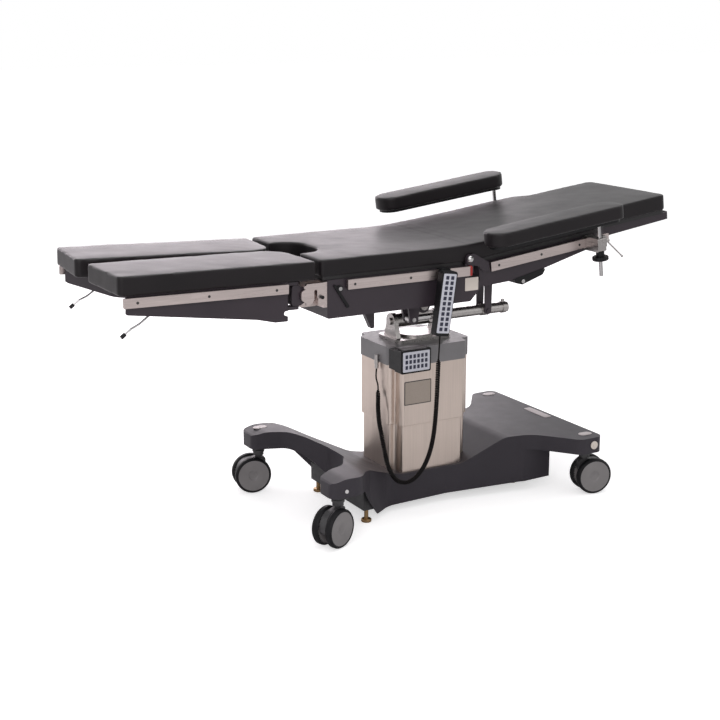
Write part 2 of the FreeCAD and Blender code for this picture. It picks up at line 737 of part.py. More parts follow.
def seat_rails():
    pieces = []
    for s in SIDES:
        ys = sorted((s * RAIL_Y[0], s * RAIL_Y[1]))
        inner = s * RAIL_Y[0]
        bar = slab(
            rect(SEAT_RAIL[0], SEAT_RAIL[1], SEAT_RAIL_TOP - RAIL_HIGH, SEAT_RAIL_TOP, 2), "xz", *ys
        )
        mid = SEAT_RAIL_TOP - RAIL_HIGH / 2
        spacers = [
            rod((x, s * FRAME_HALF, mid), (x, inner, mid), SPACER_R)
            for x in (SEAT_RAIL[0] + 24, (SEAT_RAIL[0] + SEAT_RAIL[1]) / 2, SEAT_RAIL[1] - 60)
        ]
        pieces += [bar] + spacers
    return pieces


def back_side_profile(lift):
    """Underside of the back frame, raised by lift, closed along the plate."""
    x, z = HINGE_X, HINGE_Z
    top = z - 9 - PLATE
    return [
        (x + 42, z - 104 + lift, 6), (x + 162, z - 110 + lift, 60), (x + 280, z - 99 + lift, 80),
        (x + 607, z - 52 + lift, 80), (x + BACK_LEN + BACK_FRAME_PAST, z - 46 + lift, 4),
        (x + BACK_LEN + BACK_FRAME_PAST, top, 0),
        (x + 42, top, 0),
    ]


def back_plan(u0, half, head, past, r):
    x = HINGE_X
    n0, n1 = BACK_NARROW
    near = [
        (x + u0, -half, 0), (x + n0, -half, 40), (x + n1, -head, 40),
        (x + BACK_LEN + past, -head, r),
    ]
    return near + [(p[0], -p[1], p[2]) for p in reversed(near)]


def back_frame():
    plan = back_plan(42, BACK_FRAME_HALF, BACK_FRAME_HEAD, BACK_FRAME_PAST, 12)
    w = FRAME_WALL - 1
    whole = slab(plan, "xy", HINGE_Z - 130, HINGE_Z)
    side = RAIL_Y[1]
    whole = whole.common(slab(back_side_profile(0), "xz", -side, side))
    hollow = slab(inset(plan, w), "xy", HINGE_Z - 130, HINGE_Z)
    raised = back_side_profile(4)
    raised = [(x, z + 20, r) if z > HINGE_Z - 22 else (x, z, r) for x, z, r in raised]
    hollow = hollow.common(slab(raised, "xz", -side, side))
    parts = [whole.cut(hollow)]
    for u in (330, 620):
        rib = slab(rect(HINGE_X + u, HINGE_X + u + 6, -RIB_HALF, RIB_HALF), "xy", HINGE_Z - 130, HINGE_Z)
        parts.append(rib.common(slab(back_side_profile(0), "xz", -side, side)))
    x, z = HINGE_X, HINGE_Z
    for s in SIDES:
        ear = [
            (x - EAR_R, z - EAR_R, EAR_R), (x + 26, z - 28, 6), (x + 46, z - 50, 3), (x + 68, z - 50, 4),
            (x + 68, z - 24, 4), (x + EAR_R, z + EAR_R, EAR_R), (x - EAR_R, z + EAR_R, EAR_R),
        ]
        parts.append(slab(ear, "xz", *sorted((s * BACK_EAR_Y[0], s * BACK_EAR_Y[1]))))
        packer = rect(x + 48, x + 66, z - 48, z - 28)
        ys = sorted((s * (BACK_FRAME_HALF - 1), s * (BACK_EAR_Y[0] + 1)))
        parts.append(slab(packer, "xz", *ys))
    body = fuse(parts)
    for s in SIDES:
        ys = sorted((s * (BACK_EAR_Y[0] - 1), s * (BACK_EAR_Y[1] + 1)))
        body = body.cut(rod((x, ys[0], z), (x, ys[1], z), PIN_R + RUN))
    body = tilted(body, BACK_RISE)
    under = tilted(slab(back_side_profile(2), "xz", -PAD_HALF, PAD_HALF), BACK_RISE)
    hung = [ram_arm(s) for s in SIDES] + [lock_housing()]
    return fuse([body] + [piece.cut(under) for piece in hung])


def ram_arm(side):
    """One of the two thin arms that hold the cylinder's trunnions."""
    ys = sorted(RAM_Y + side * y for y in RAM_ARM)
    arm = slab(hanger(RAM_TRUNNION_X, RAM_Z, 12, 14, 775), "xz", *ys)
    outer = RAM_Y + side * RAM_ARM[1]
    head = rod((RAM_TRUNNION_X, outer - side, RAM_Z), (RAM_TRUNNION_X, outer + side * 3, RAM_Z), RAM_PIN_R)
    return fuse([arm, head])


def lock_housing():
    """Housing of the back's lock, under the near edge of the frame."""
    return slab(LOCK_PROFILE, "xz", -BACK_FRAME_HALF - 2, -BACK_FRAME_HALF + LOCK_DEEP)


def back_plate():
    x, z = HINGE_X, HINGE_Z
    plan = inset(back_plan(6, PAD_HALF, HEAD_HALF, -4, 24), 6)
    plan = [(max(p[0], x + 6), p[1], p[2]) for p in plan]
    plate = slab(plan, "xy", z - 9 - PLATE, z - 9)
    return tilted(plate, BACK_RISE)


def back_pad():
    x, z = HINGE_X, HINGE_Z
    plan = back_plan(4, PAD_HALF, HEAD_HALF, -4, 26)
    top = z - 9 + BACK_THICK
    pad = slab(plan, "xy", z - 9, top)
    pad = pad.cut(notch(1, top))
    return tilted(pad, BACK_RISE)


def back_rails():
    pieces = []
    x, z = HINGE_X, HINGE_Z + BACK_RAIL_TOP
    for s in SIDES:
        ys = sorted((s * RAIL_Y[0], s * RAIL_Y[1]))
        pieces.append(slab(rect(x + BACK_RAIL[0], x + BACK_RAIL[1], z - RAIL_HIGH, z, 2), "xz", *ys))
        for u in (BACK_RAIL[0] + 30, 270.0, 425.0):
            mid = z - RAIL_HIGH / 2
            pieces.append(rod((x + u, s * BACK_FRAME_HALF, mid), (x + u, s * RAIL_Y[0], mid), SPACER_R))
    return [tilted(p, BACK_RISE) for p in pieces]


def hinge_pins():
    pins = []
    for s in SIDES:
        y0, y1 = s * (EAR_Y[0] + 0.2), s * (BACK_EAR_Y[1] + 0.3)
        shank = rod((HINGE_X, y0, HINGE_Z), (HINGE_X, y1, HINGE_Z), PIN_R)
        ball = Part.makeSphere(12, Vector(HINGE_X, y1 - s * 4.5, HINGE_Z))
        keep = box((HINGE_X - 20, HINGE_X + 20), sorted((y1, y1 + s * 20)), (HINGE_Z - 20, HINGE_Z + 20))
        pins.append(fuse([shank, ball.common(keep)]))
    return pins


def ram_rod():
    """Rod of the back cylinder, with its eye and pin on the seat frame."""
    eye = rod((RAM_EYE_X, RAM_Y - 13, RAM_Z), (RAM_EYE_X, RAM_Y + 13, RAM_Z), 14)
    pin = rod((RAM_EYE_X, RAM_Y - 24, RAM_Z), (RAM_EYE_X, RAM_Y + 24, RAM_Z), RAM_PIN_R)
    shaft = rod((RAM_EYE_X, RAM_Y, RAM_Z), (RAM_ROD_END, RAM_Y, RAM_Z), RAM_ROD_R)
    return fuse([eye, pin, shaft])


def ram_barrel():
    """Barrel with its gland, trunnion ring, end cap and oil port."""
    x0, x1 = RAM_BARREL_X
    body = rod((x0, RAM_Y, RAM_Z), (x1, RAM_Y, RAM_Z), RAM_BARREL_R)
    gland = rod((x0, RAM_Y, RAM_Z), (x0 + 18, RAM_Y, RAM_Z), RAM_RING_R)
    ring = rod((RAM_TRUNNION_X - 14, RAM_Y, RAM_Z), (RAM_TRUNNION_X + 14, RAM_Y, RAM_Z), RAM_RING_R)
    cap = rod((x1 - 22, RAM_Y, RAM_Z), (x1 - 8, RAM_Y, RAM_Z), RAM_RING_R)
    port = rod((x1 - 15, RAM_Y, RAM_Z), (x1 - 15, RAM_Y, RAM_Z + 27), 6)
    whole = fuse([body, gland, ring, cap, port])
    return whole.cut(rod((x0 - 1, RAM_Y, RAM_Z), (x1 - 26, RAM_Y, RAM_Z), RAM_ROD_R + RUN))


def bracket_cheek(low):
    """Side outline of a knee bracket's cheek, down to low."""
    x, z = KNEE_X, KNEE_Z
    neck, top = x + 2, z + BRACKET_TOP
    return [
        (x - 14, z - 14, 12), (neck, z - 20, 4), (neck, low, 5), (BRACKET_RIGHT, low, 6),
        (BRACKET_RIGHT, top, 6), (neck, top, 5), (neck, z + 20, 4), (x - 14, z + 14, 12),
    ]


def lug_relief(y0, y1):
    """Room in the outer cheek for the leg's lower lug when the leg is folded and spread."""
    x, z = KNEE_X, KNEE_Z
    near, far = x - ABDUCT_X - LUG_HALF, x - ABDUCT_X + LUG_HALF
    inner = math.hypot(near, LUG_LOW[0]) - 1
    outer = math.hypot(far, LUG_LOW[1]) + 1
    ring = tube((x, y0, z), (x, y1, z), outer, inner)
    return ring.common(box((x - outer, x + LUG_LOW[1] + 1), (y0, y1), (z - outer, z - near + 1)))


def knee_bracket():
    """Near-side bracket: two cheeks, a bolted back plate and the knee shaft."""
    x, z = KNEE_X, KNEE_Z
    y0, y1 = -FRAME_HALF - 4, -ABDUCT_Y + 25
    slot = slab(rect(BRACKET_SLOT - 5, BRACKET_SLOT + 5, z - 28, z + 16, 4.9), "xz", y0 - 4, y0 + 16)
    outer = slab(bracket_cheek(z - OUTER_LOW), "xz", y0, y0 + BRACKET_T)
    outer = outer.cut(slot).cut(lug_relief(y0 - 1, y0 + BRACKET_T + 1))
    inner = slab(bracket_cheek(z - INNER_LOW), "xz", y1 - BRACKET_T, y1)
    back = box((BRACKET_RIGHT - 4, FRAME_LEFT), (y0 + 5, y1), (z - INNER_LOW, z + BRACKET_TOP))
    shaft = rod((x, y0 + 3, z), (x, y1 - 3, z), KNEE_R)
    bore = rod((x, y0 + 3, z), (x, y1 - 3, z), KNEE_R)
    knob = rod((BRACKET_RIGHT - 13, y0 + 1, z - 8), (BRACKET_RIGHT - 13, y0 - 9, z - 8), 5.5)
    bolt = rod((x - 2, y0 + 1, z + 26), (x - 2, y0 - 3, z + 26), 5)
    return [fuse([outer, inner, back, knob, bolt]).cut(bore), shaft]


def knee_link():
    """Swivel block on the knee shaft with the upright abduction pin."""
    x, z = KNEE_X, KNEE_Z
    y0, y1 = -ABDUCT_Y - 13.5, -ABDUCT_Y + 13.5
    low, top = z - LINK_LOW, z + LINK_TOP
    block = [
        (ABDUCT_X - 15, low, 8), (ABDUCT_X + 14, low, 8), (x + 4, z - 20, 10), (x + 20, z - 20, 18),
        (x + 20, z + 20, 18), (ABDUCT_X + 14, z + 26, 8), (ABDUCT_X + 10, top, 4),
        (ABDUCT_X - 15, top, 8),
    ]
    body = slab(block, "xz", y0, y1).cut(rod((x, y0 - 1, z), (x, y1 + 1, z), KNEE_R + RUN))
    pin = rod((ABDUCT_X, -ABDUCT_Y, low - 12), (ABDUCT_X, -ABDUCT_Y, top + 12), ABDUCT_R)
    return fuse([body, pin])


def leg_plan(right, inner, outer, cut_r):
    """Plan of a near leg section, with the knee corner rounded off on the inner side."""
    return [
        (LEG_END, -outer, 16), (right, -outer, 10), (right, -inner, cut_r), (LEG_END, -inner, 16),
    ]


def leg_frame():
    """Wedge-shaped frame, cut back to its outer cheek at the foot end."""
    top = KNEE_Z + LEG_PAD_TOP - LEG_PAD_THICK - 0.5
    foot, right = LEG_END + 22, LEG_FRAME_RIGHT
    plan = [
        (foot, -LEG_FRAME_OUT, 3), (right, -LEG_FRAME_OUT, 10), (right, -LEG_FRAME_IN, 60),
        (foot + 95, -LEG_FRAME_IN, 30),
    ]
    side = [
        (foot, top, 0), (foot, top - 54, 10), (-720, 728, 60), (-658, LEG_FRAME_LOW, 10),
        (right, LEG_FRAME_LOW, 4), (right, top, 0),
    ]
    whole = slab(plan, "xy", 700, top).common(slab(side, "xz", -PAD_HALF - 15, 0))
    hollow = slab(inset(plan, 5), "xy", 690, top - 5)
    gap = rect(right - 17, right + 10, LEG_FRAME_LOW + 13, KNEE_Z - LINK_LOW - 12, 6)
    x, z = ABDUCT_X, KNEE_Z
    parts = [whole.cut(hollow).cut(slab(gap, "xz", -PAD_HALF - 15, 0))]
    y0, y1 = -ABDUCT_Y - LUG_HALF, -ABDUCT_Y + LUG_HALF
    for zs in ((z - LUG_LOW[1], z - LUG_LOW[0]), (z + LINK_TOP + 1, z + LINK_TOP + 11)):
        lug = [(right - 3, y0, 0), (x + 13, y0, 13.5), (x + 13, y1, 13.5), (right - 3, y1, 0)]
        parts.append(slab(lug, "xy", *zs))
    px, pz = LEVER_ROUTE[0]
    for s in SIDES:
        ys = sorted((LEVER_Y + s * (LEVER_HUB + 0.3), LEVER_Y + s * (LEVER_HUB + 4.3)))
        parts.append(slab(hanger(px, pz, 8, 14, top - 4), "xz", *ys))
    body = fuse(parts)
    reach = LEVER_HUB + 6
    body = body.cut(rod((px, LEVER_Y - reach, pz), (px, LEVER_Y + reach, pz), LEVER_PIN + RUN))
    return body.cut(rod((x, -ABDUCT_Y, 700), (x, -ABDUCT_Y, top + 1), ABDUCT_R + RUN))


def leg_pad():
    low = KNEE_Z + LEG_PAD_TOP - LEG_PAD_THICK
    plan = leg_plan(LEG_PAD_RIGHT, LEG_PAD_IN, LEG_PAD_OUT, 84)
    return slab(plan, "xy", low, low + LEG_PAD_THICK)


def leg_rail():
    top = LEG_RAIL_TOP
    near, far = -LEG_PAD_OUT - 10, -LEG_PAD_OUT
    bar = slab(rect(LEG_RAIL[0], LEG_RAIL[1], top - LEG_RAIL_HIGH, top, 2), "xz", near, far)
    mid = top - LEG_RAIL_HIGH / 2
    spacers = [
        rod((x, far, mid), (x, -LEG_FRAME_OUT, mid), SPACER_R)
        for x in (LEG_RAIL[0] + 40, (LEG_RAIL[0] + LEG_RAIL[1]) / 2, LEG_RAIL[1] - 40)
    ]
    return [bar] + spacers


def release_lever():
    y = LEVER_Y
    x, z = LEVER_ROUTE[0]
    pin = LEVER_HUB + 4.3
    parts = [
        rod((x, y - LEVER_HUB, z), (x, y + LEVER_HUB, z), 6),
        rod((x, y - pin, z), (x, y + pin, z), LEVER_PIN),
    ]
    for a, b in zip(LEVER_ROUTE, LEVER_ROUTE[1:]):
        parts.append(rod((a[0], y, a[1]), (b[0], y, b[1]), 3.0))
        parts.append(Part.makeSphere(3.0, Vector(b[0], y, b[1])))
    a, b = (Vector(p[0], y, p[1]) for p in LEVER_ROUTE[-2:])
    grip = Part.makeCylinder(6.0, 16.0, b - (b - a).normalize() * 12, b - a)
    return fuse(parts + [grip])


def leg_place(shape, side):
    """Raise the foot end a little and swing the leg outwards about its pin."""
    posed = shape.copy()
    posed.rotate(Vector(KNEE_X, 0, KNEE_Z), Vector(0, 1, 0), LEG_RISE)
    turned = posed.copy()
    axis = leg_axis()
    pin = Vector(ABDUCT_X, -ABDUCT_Y, KNEE_Z)
    turned.rotate(pin_place(pin), axis, SPREAD[side])
    return on_side(side, turned)


def leg_axis():
    a = math.radians(LEG_RISE)
    return Vector(math.sin(a), 0, math.cos(a))


def pin_place(pin):
    a = math.radians(LEG_RISE)
    dx, dz = pin.x - KNEE_X, pin.z - KNEE_Z
    x = KNEE_X + dx * math.cos(a) + dz * math.sin(a)
    z = KNEE_Z - dx * math.sin(a) + dz * math.cos(a)
    return Vector(x, pin.y, z)


def link_place(shape, side):
    posed = shape.copy()
    posed.rotate(Vector(KNEE_X, 0, KNEE_Z), Vector(0, 1, 0), LEG_RISE)
    return on_side(side, posed)


def lock_lever():
    """Release lever on the seat frame's near cheek."""
    x, z = LOCK_PIVOT
    y0 = -FRAME_HALF
    hub = rod((x, y0 - 0.3, z), (x, y0 - 6, z), 10)
    arm = slab([(x - 22, z + 10, 3), (x - 16, z + 15, 3), (x + 33, z - 58, 3), (x + 25, z - 63, 3)],
               "xz", y0 - 5.5, y0 - 1.5)
    stud = rod((x, y0 - 6, z), (x, y0 - 9, z), 6)
    return fuse([hub, arm, stud])


def arm_clamp(side):
    """Rail clamp with the post's bore, a screwed jaw and its tommy bar."""
    x, z = HINGE_X + ARMS[side][2], HINGE_Z + BACK_RAIL_TOP
    low = z - RAIL_HIGH
    y0, y1 = -RAIL_Y[1], -RAIL_Y[0]
    right = x + CLAMP_HALF
    block = slab(rect(-ARM_Y - 13, y1 + 4, low - 8, z + 8, 5), "yz", x - CLAMP_HALF, right)
    slot = box((x - 20, x + 20), (y0 - 0.3, y1 + 0.3), (low - 0.3, z + 0.3))
    mouth = box((x - 20, x + 20), (y1 + 0.2, y1 + 10), (low + 6, z - 6))
    bore = rod((x, -ARM_Y, low - 30), (x, -ARM_Y, z + 20), POST_R + RUN)
    jaw = slab(rect(right, right + JAW_LONG, low - 4, z + 4, 4), "xz", y0 - 32, y0 - 2)
    hub = (right + JAW_LONG + 10, y0 - 17, z - 18)
    screw = rod((right + JAW_LONG, *hub[1:]), (hub[0] + 8, *hub[1:]), 7)
    end = (hub[0] + BAR_REACH[0], hub[1], hub[2] - BAR_REACH[1])
    bar = rod(hub, end, BAR_R)
    ball = Part.makeSphere(BAR_R + 1.9, Vector(*end))
    whole = fuse([cut(block, [slot, mouth, bore]), jaw, screw, bar, ball])
    return on_side(side, tilted(whole, BACK_RISE))


def clamp_knob(side):
    """Star knob that locks the post, below the clamp."""
    u = ARMS[side][2]
    x, z = HINGE_X + u, HINGE_Z + BACK_RAIL_TOP - RAIL_HIGH - 8
    body = rod((x, -ARM_Y, z - 0.3), (x, -ARM_Y, z - 16), 14)
    disc = rod((x, -ARM_Y, z - 16), (x, -ARM_Y, z - 30), KNOB_R)
    disc = disc.makeFillet(4, disc.Edges)
    whole = fuse([body, disc])
    lobes = [
        rod(
            (x + KNOB_R * 1.22 * math.cos(a), -ARM_Y + KNOB_R * 1.22 * math.sin(a), z - 31),
            (x + KNOB_R * 1.22 * math.cos(a), -ARM_Y + KNOB_R * 1.22 * math.sin(a), z - 15),
            9,
        )
        for a in (math.radians(60 * i) for i in range(6))
    ]
    whole = cut(whole, lobes)
    bore = rod((x, -ARM_Y, z + 1), (x, -ARM_Y, z - 31), POST_R + RUN)
    return on_side(side, tilted(whole.cut(bore), BACK_RISE))


def arm_plan(side, shrink):
    u0, u1 = ARMS[side][:2]
    h = ARM_HALF - shrink
    x0, x1 = HINGE_X + u0 + shrink, HINGE_X + u1 - shrink
    r = h - 0.5
    return [(x0, -ARM_Y - h, r), (x1, -ARM_Y - h, r * 0.6), (x1, -ARM_Y + h, r), (x0, -ARM_Y + h, r)]


def arm_board(side):
    u, top, low = ARMS[side][2:]
    z = HINGE_Z + top - ARM_PAD
    board = slab(arm_plan(side, ARM_BOARD_IN), "xy", z - ARM_BOARD, z)
    post = rod((HINGE_X + u, -ARM_Y, HINGE_Z + low), (HINGE_X + u, -ARM_Y, z - ARM_BOARD + 1), POST_R)
    flange = rod((HINGE_X + u, -ARM_Y, z - ARM_BOARD - 6), (HINGE_X + u, -ARM_Y, z - ARM_BOARD + 1), 24)
    return on_side(side, tilted(fuse([board, post, flange]), BACK_RISE))


def arm_pad(side):
    z = HINGE_Z + ARMS[side][3]
    return on_side(side, tilted(slab(arm_plan(side, 0), "xy", z - ARM_PAD, z), BACK_RISE))


def handset_pose(shape):
    turned = shape.copy()
    turned.rotate(Vector(HANDSET_X, 0, (HANDSET_Z[0] + HANDSET_Z[1]) / 2), Vector(0, 1, 0), HANDSET_TILT)
    return turned


def handset():
    w = HANDSET_W / 2
    x, (z0, z1) = HANDSET_X, HANDSET_Z
    front = [(x - w + 3, z0, 8), (x + w - 3, z0, 8), (x + w, z1, 10), (x - w, z1, 10)]
    body = slab(front, "xz", *HANDSET_Y)
    body = handset_pose(body)
    rail_y = -RAIL_Y[1]
    top = SEAT_RAIL_TOP + 0.3 + HOOK_T
    strap = box((x - 4, x + 30), (HANDSET_Y[1] - 2, rail_y - 0.3), (SEAT_RAIL_TOP - RAIL_HIGH - 4, top))
    hook = box((x - 4, x + 30), (rail_y - 1, rail_y + 14), (SEAT_RAIL_TOP + 0.3, top))
    return fuse([body, strap, hook])


def handset_keypad():
    w = HANDSET_W / 2 - 5
    x, (z0, z1) = HANDSET_X, HANDSET_Z
    plate = slab(rect(x - w, x + w, z0 + 10, z1 - 8, 4), "xz", HANDSET_Y[0] - KEYPAD_T, HANDSET_Y[0])
    return handset_pose(plate)


def cord_tube(points, r, label):
    """A tube along straight runs joined by tangent arcs."""
    pts = [Vector(*p) for p in points]
    edges = []
    at = pts[0]
    radii = []
    for a, b, c in zip(pts, pts[1:], pts[2:]):
        u, v = (a - b), (c - b)
        reach = 0.45 * min(u.Length, v.Length)
        half = u.getAngle(v) / 2
        radius = reach * math.tan(half)
        radii.append(radius)
        u.normalize()
        v.normalize()
        start, end = b + u * reach, b + v * reach
        centre = b + (u + v).normalize() * math.hypot(radius, reach)
        middle = centre + (b - centre).normalize() * radius
        edges.append(Part.LineSegment(at, start).toShape())
        edges.append(Part.Arc(start, middle, end).toShape())
        at = end
    edges.append(Part.LineSegment(at, pts[-1]).toShape())
    path = Part.Wire(edges)
    ring = Part.Wire(Part.makeCircle(r, pts[0], pts[1] - pts[0]))
    solid = path.makePipeShell([ring], True, False)
    expected = math.pi * r * r * path.Length
    print(label, "length", round(path.Length), "least radius", round(min(radii)),
          "volume over section times length", round(solid.Volume / expected, 4))
    return solid


def cord_socket():
    """Plug of the cord in its downward socket on the collar's foot side."""
    body = rod((SOCKET_X, SOCKET_Y, 470), (SOCKET_X, SOCKET_Y, 516), 6.5)
    nut = rod((SOCKET_X, SOCKET_Y, 486), (SOCKET_X, SOCKET_Y, 500), 7.6)
    ear = box((SOCKET_X, COL_X0 - COLLAR_OUT), (SOCKET_Y - 5, SOCKET_Y + 5), (504, 514))
    return fuse([body, nut, ear])


def build():
    """Every sub-part by node name, as a shape or a list of solids."""
    nodes = {
        "base_chassis": base_chassis(),
        "base_cover": base_cover(),
        "power_unit": power_unit(),
        "brake_feet": brake_feet(),
        "lower_column_cover": column_tube(LOWER_INSET, COVER_SHEET, CHASSIS_TOP, LOWER_TOP),
        "middle_column_cover": middle_column_cover(),
        "upper_column_cover": column_tube(0, COVER_SHEET, UPPER_Z0, COLLAR_Z[1] - COLLAR_PLATE),
        "column_collar": column_collar(),
        "outer_mast": mast(0),
        "middle_mast": mast(1),
        "inner_mast": mast(2),
        "control_panel": control_panel(),
        "panel_keypad": panel_keypad(),
        "column_head": column_head(),
        "tilt_cradle": tilt_cradle(),
        "seat_frame": seat_frame(),
        "seat_plate": seat_plate(),
        "seat_pad": seat_pad(),
        "seat_rails": seat_rails(),
        "near_lock_lever": lock_lever(),
        "far_lock_lever": mirrored(lock_lever()),
        "back_frame": back_frame(),
        "back_plate": back_plate(),
        "back_pad": back_pad(),
        "back_rails": back_rails(),
        "hinge_pins": hinge_pins(),
        "ram_barrel": ram_barrel(),
        "ram_rod": ram_rod(),
        "handset": handset(),
        "handset_keypad": handset_keypad(),
        "cord_leads": [
            cord_tube(LEAD_ROUTE, CORD_R, "lead"),
            cord_tube(TAIL_ROUTE, CORD_R, "tail"),
        ],
        "cord_coil": cord_tube(COIL_ROUTE, COIL_R, "coil"),
        "cord_socket": cord_socket(),
    }
    for corner in CASTORS:
        nodes["castor_yoke_" + corner] = castor_place(castor_yoke(), corner)
        nodes["castor_wheels_" + corner] = castor_place(castor_wheels(), corner)
    brackets = knee_bracket()
    nodes["knee_brackets"] = brackets + [mirrored(s) for s in brackets]
    for side in ("near", "far"):
        nodes[side + "_knee_link"] = link_place(knee_link(), side)
        nodes[side + "_leg_frame"] = leg_place(leg_frame(), side)
        nodes[side + "_leg_pad"] = leg_place(leg_pad(), side)
        nodes[side + "_leg_rail"] = [leg_place(s, side) for s in leg_rail()]
        nodes[side + "_release_lever"] = leg_place(release_lever(), side)
        nodes[side + "_arm_clamp"] = arm_clamp(side)
        nodes[side + "_clamp_knob"] = clamp_knob(side)
        nodes[side + "_arm_board"] = arm_board(side)
        nodes[side + "_arm_pad"] = arm_pad(side)
    return nodes


def solids_of(shape):
    if isinstance(shape, list):
        return [solid for piece in shape for solid in piece.Solids]
    return shape.Solids


def origin_shift(nodes):
    """Brings the origin under the middle of the table's whole length."""
    bounds = FreeCAD.BoundBox()
    for shape in nodes.values():
        for solid in solids_of(shape):
            bounds.add(solid.BoundBox)
    return Vector(-(bounds.XMin + bounds.XMax) / 2, 0, 0)


def main():
    nodes = build()
    shift = origin_shift(nodes)
    os.makedirs("parts", exist_ok=True)
    print("origin shift", round(shift.x, 4), "nodes", len(nodes))
    for name, shape in nodes.items():
        solids = solids_of(shape)
        for solid in solids:
            solid.translate(shift)
        whole = Part.makeCompound(solids) if len(solids) > 1 else solids[0]
        if not whole.isValid():
            print("not valid:", name)
        whole.exportStep("parts/" + name + ".step")
    return nodes, shift


main()
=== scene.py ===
import json
import math

import bmesh
import bpy
from mathutils import Matrix, Vector, noise
from mathutils.kdtree import KDTree


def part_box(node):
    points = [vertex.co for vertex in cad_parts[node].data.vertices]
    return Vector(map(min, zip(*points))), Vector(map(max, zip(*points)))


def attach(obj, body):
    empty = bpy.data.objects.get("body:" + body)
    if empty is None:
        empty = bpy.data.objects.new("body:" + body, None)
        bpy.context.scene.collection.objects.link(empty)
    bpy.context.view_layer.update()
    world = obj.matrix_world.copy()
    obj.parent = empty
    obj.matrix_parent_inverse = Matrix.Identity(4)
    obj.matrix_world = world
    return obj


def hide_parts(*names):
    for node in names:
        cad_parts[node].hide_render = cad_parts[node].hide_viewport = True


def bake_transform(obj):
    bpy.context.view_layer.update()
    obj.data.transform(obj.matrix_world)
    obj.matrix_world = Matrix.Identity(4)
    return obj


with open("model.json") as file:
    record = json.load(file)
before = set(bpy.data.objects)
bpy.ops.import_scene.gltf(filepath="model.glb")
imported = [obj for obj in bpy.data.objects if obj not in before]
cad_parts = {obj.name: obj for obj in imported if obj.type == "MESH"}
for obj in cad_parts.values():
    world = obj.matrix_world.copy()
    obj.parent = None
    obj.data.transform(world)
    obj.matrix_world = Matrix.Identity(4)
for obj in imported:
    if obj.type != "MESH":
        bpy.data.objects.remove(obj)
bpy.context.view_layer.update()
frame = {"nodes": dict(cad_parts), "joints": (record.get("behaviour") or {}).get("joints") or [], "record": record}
NODES = frame["nodes"]
JOINT = {j["name"]: j for j in frame["joints"]}
HINGE = Vector(JOINT["back_fold"]["pos_m"])

# Distances in metres. Places written in this script are measured from the castors' centre,
# which lies SHIFT along X from the frame's origin.
HINGE_FROM_CASTORS = 0.022
SHIFT = Vector((HINGE.x - HINGE_FROM_CASTORS, 0, 0))
BACK_RISE = math.radians(6.8)
HANDSET_TILT = math.radians(8.0)
SIDES = {"near": -1, "far": 1}

# Camera of the photograph
CAMERA_AT = Vector((-2.4165, -3.8466, 1.6384))
CAMERA_YAW = math.radians(29.557)
CAMERA_PITCH = math.radians(14.505)
CAMERA_LENS = 69.58
CAMERA_SENSOR = 36.0

# Pads
VOXEL = 0.004
PAD_HALF = 0.245
EDGE_DROP = 0.0018
EDGE_REACH = 0.03
CROWN = 0.001
PULL_IN = 0.001
CORNER_REACH = 0.07
SOFT_PASSES = 4
TOP_WAVES = ((9.0, 0.0009), (26.0, 0.0003))
SIDE_WAVE = (14.0, 0.0008)
FOLD_EASE = 0.12
FILL_REACH = 0.055
FILL_THICK = 0.0535

# Rounded edges of rigid pieces, wider on moulded and cast ones
WELD = 1e-5
EDGE_WIDTH = 0.0012
EDGE_ANGLE = math.radians(40)
EDGES = {"base_cover": 0.004, "column_collar": 0.004, "control_panel": 0.003, "handset": 0.003,
         "seat_frame": 0.0015, "near_leg_frame": 0.002, "far_leg_frame": 0.002}

# Leg sections as they stand: foot end raised, each swung outwards, about the knee and the upright pin
KNEE = Vector((-0.56, 0, 0.787))
LEG_RISE = math.radians(1.5)
LEG_SPREAD = {"near": math.radians(2.0), "far": math.radians(4.5)}
LEVER_END = Vector((-1.122, -0.196, 0.708))
LEVER_GRIP = 0.0155

# Faces past which a node takes its second finish
LEVER_BOLT_Y = 0.2482
KNOB_Y = 0.2465
KNOB_X = -0.53
POST_R = 0.008
LOCK_LOW = (0.205, -0.24, 0.738)
LOCK_HIGH = (0.334, -0.174, 0.792)
LOCK_TOP = 0.79
TYRE = 0.009

# Caps, plates, bolts and screws
CAP_SIZE = (0.05, 0.03, 0.003)
CAPS = {"far_left": (-0.466, 0.289, 0.2216), "far_right": (0.487, 0.291, 0.2052),
        "near_right": (0.49, -0.279, 0.2052)}
TIP_FACE_Y = -0.3288
SCREW_R = 0.0042
SEAT_SCREWS = (-0.399, -0.202, -0.041)
BACK_SCREWS = (0.102, 0.27, 0.425)
LEG_SCREWS = (-1.1, -0.8825, -0.665)

# Light
WORLD_SOFT = 0.55
FLOOR_GLOW = 0.56
FLOOR_HALF = 30.0

# Curly cord: route in metres about the castor centre, then its wire and coil
CORD_R = 0.0026
COIL_R = 0.0079
COIL_PITCH = 0.0058
TURN_POINTS = 12
LEAD = [(-0.1075, -0.282, 0.6195), (-0.108, -0.2815, 0.595), (-0.109, -0.281, 0.57), (-0.11, -0.28, 0.545)]
COIL = [
    (-0.11, -0.28, 0.545), (-0.1125, -0.2805, 0.48), (-0.114, -0.279, 0.412), (-0.116, -0.276, 0.345),
    (-0.118, -0.268, 0.28), (-0.124, -0.253, 0.218), (-0.136, -0.232, 0.165), (-0.155, -0.206, 0.125),
    (-0.18, -0.18, 0.112), (-0.207, -0.172, 0.132), (-0.228, -0.168, 0.178), (-0.241, -0.169, 0.233),
    (-0.24, -0.15, 0.278), (-0.23, -0.115, 0.315), (-0.213, -0.08, 0.348), (-0.199, -0.057, 0.375),
    (-0.193, -0.046, 0.4),
]
TAIL = [(-0.193, -0.046, 0.4), (-0.191, -0.042, 0.416), (-0.196, -0.038, 0.434), (-0.195, -0.0355, 0.452),
        (-0.193, -0.036, 0.47)]


# Camera

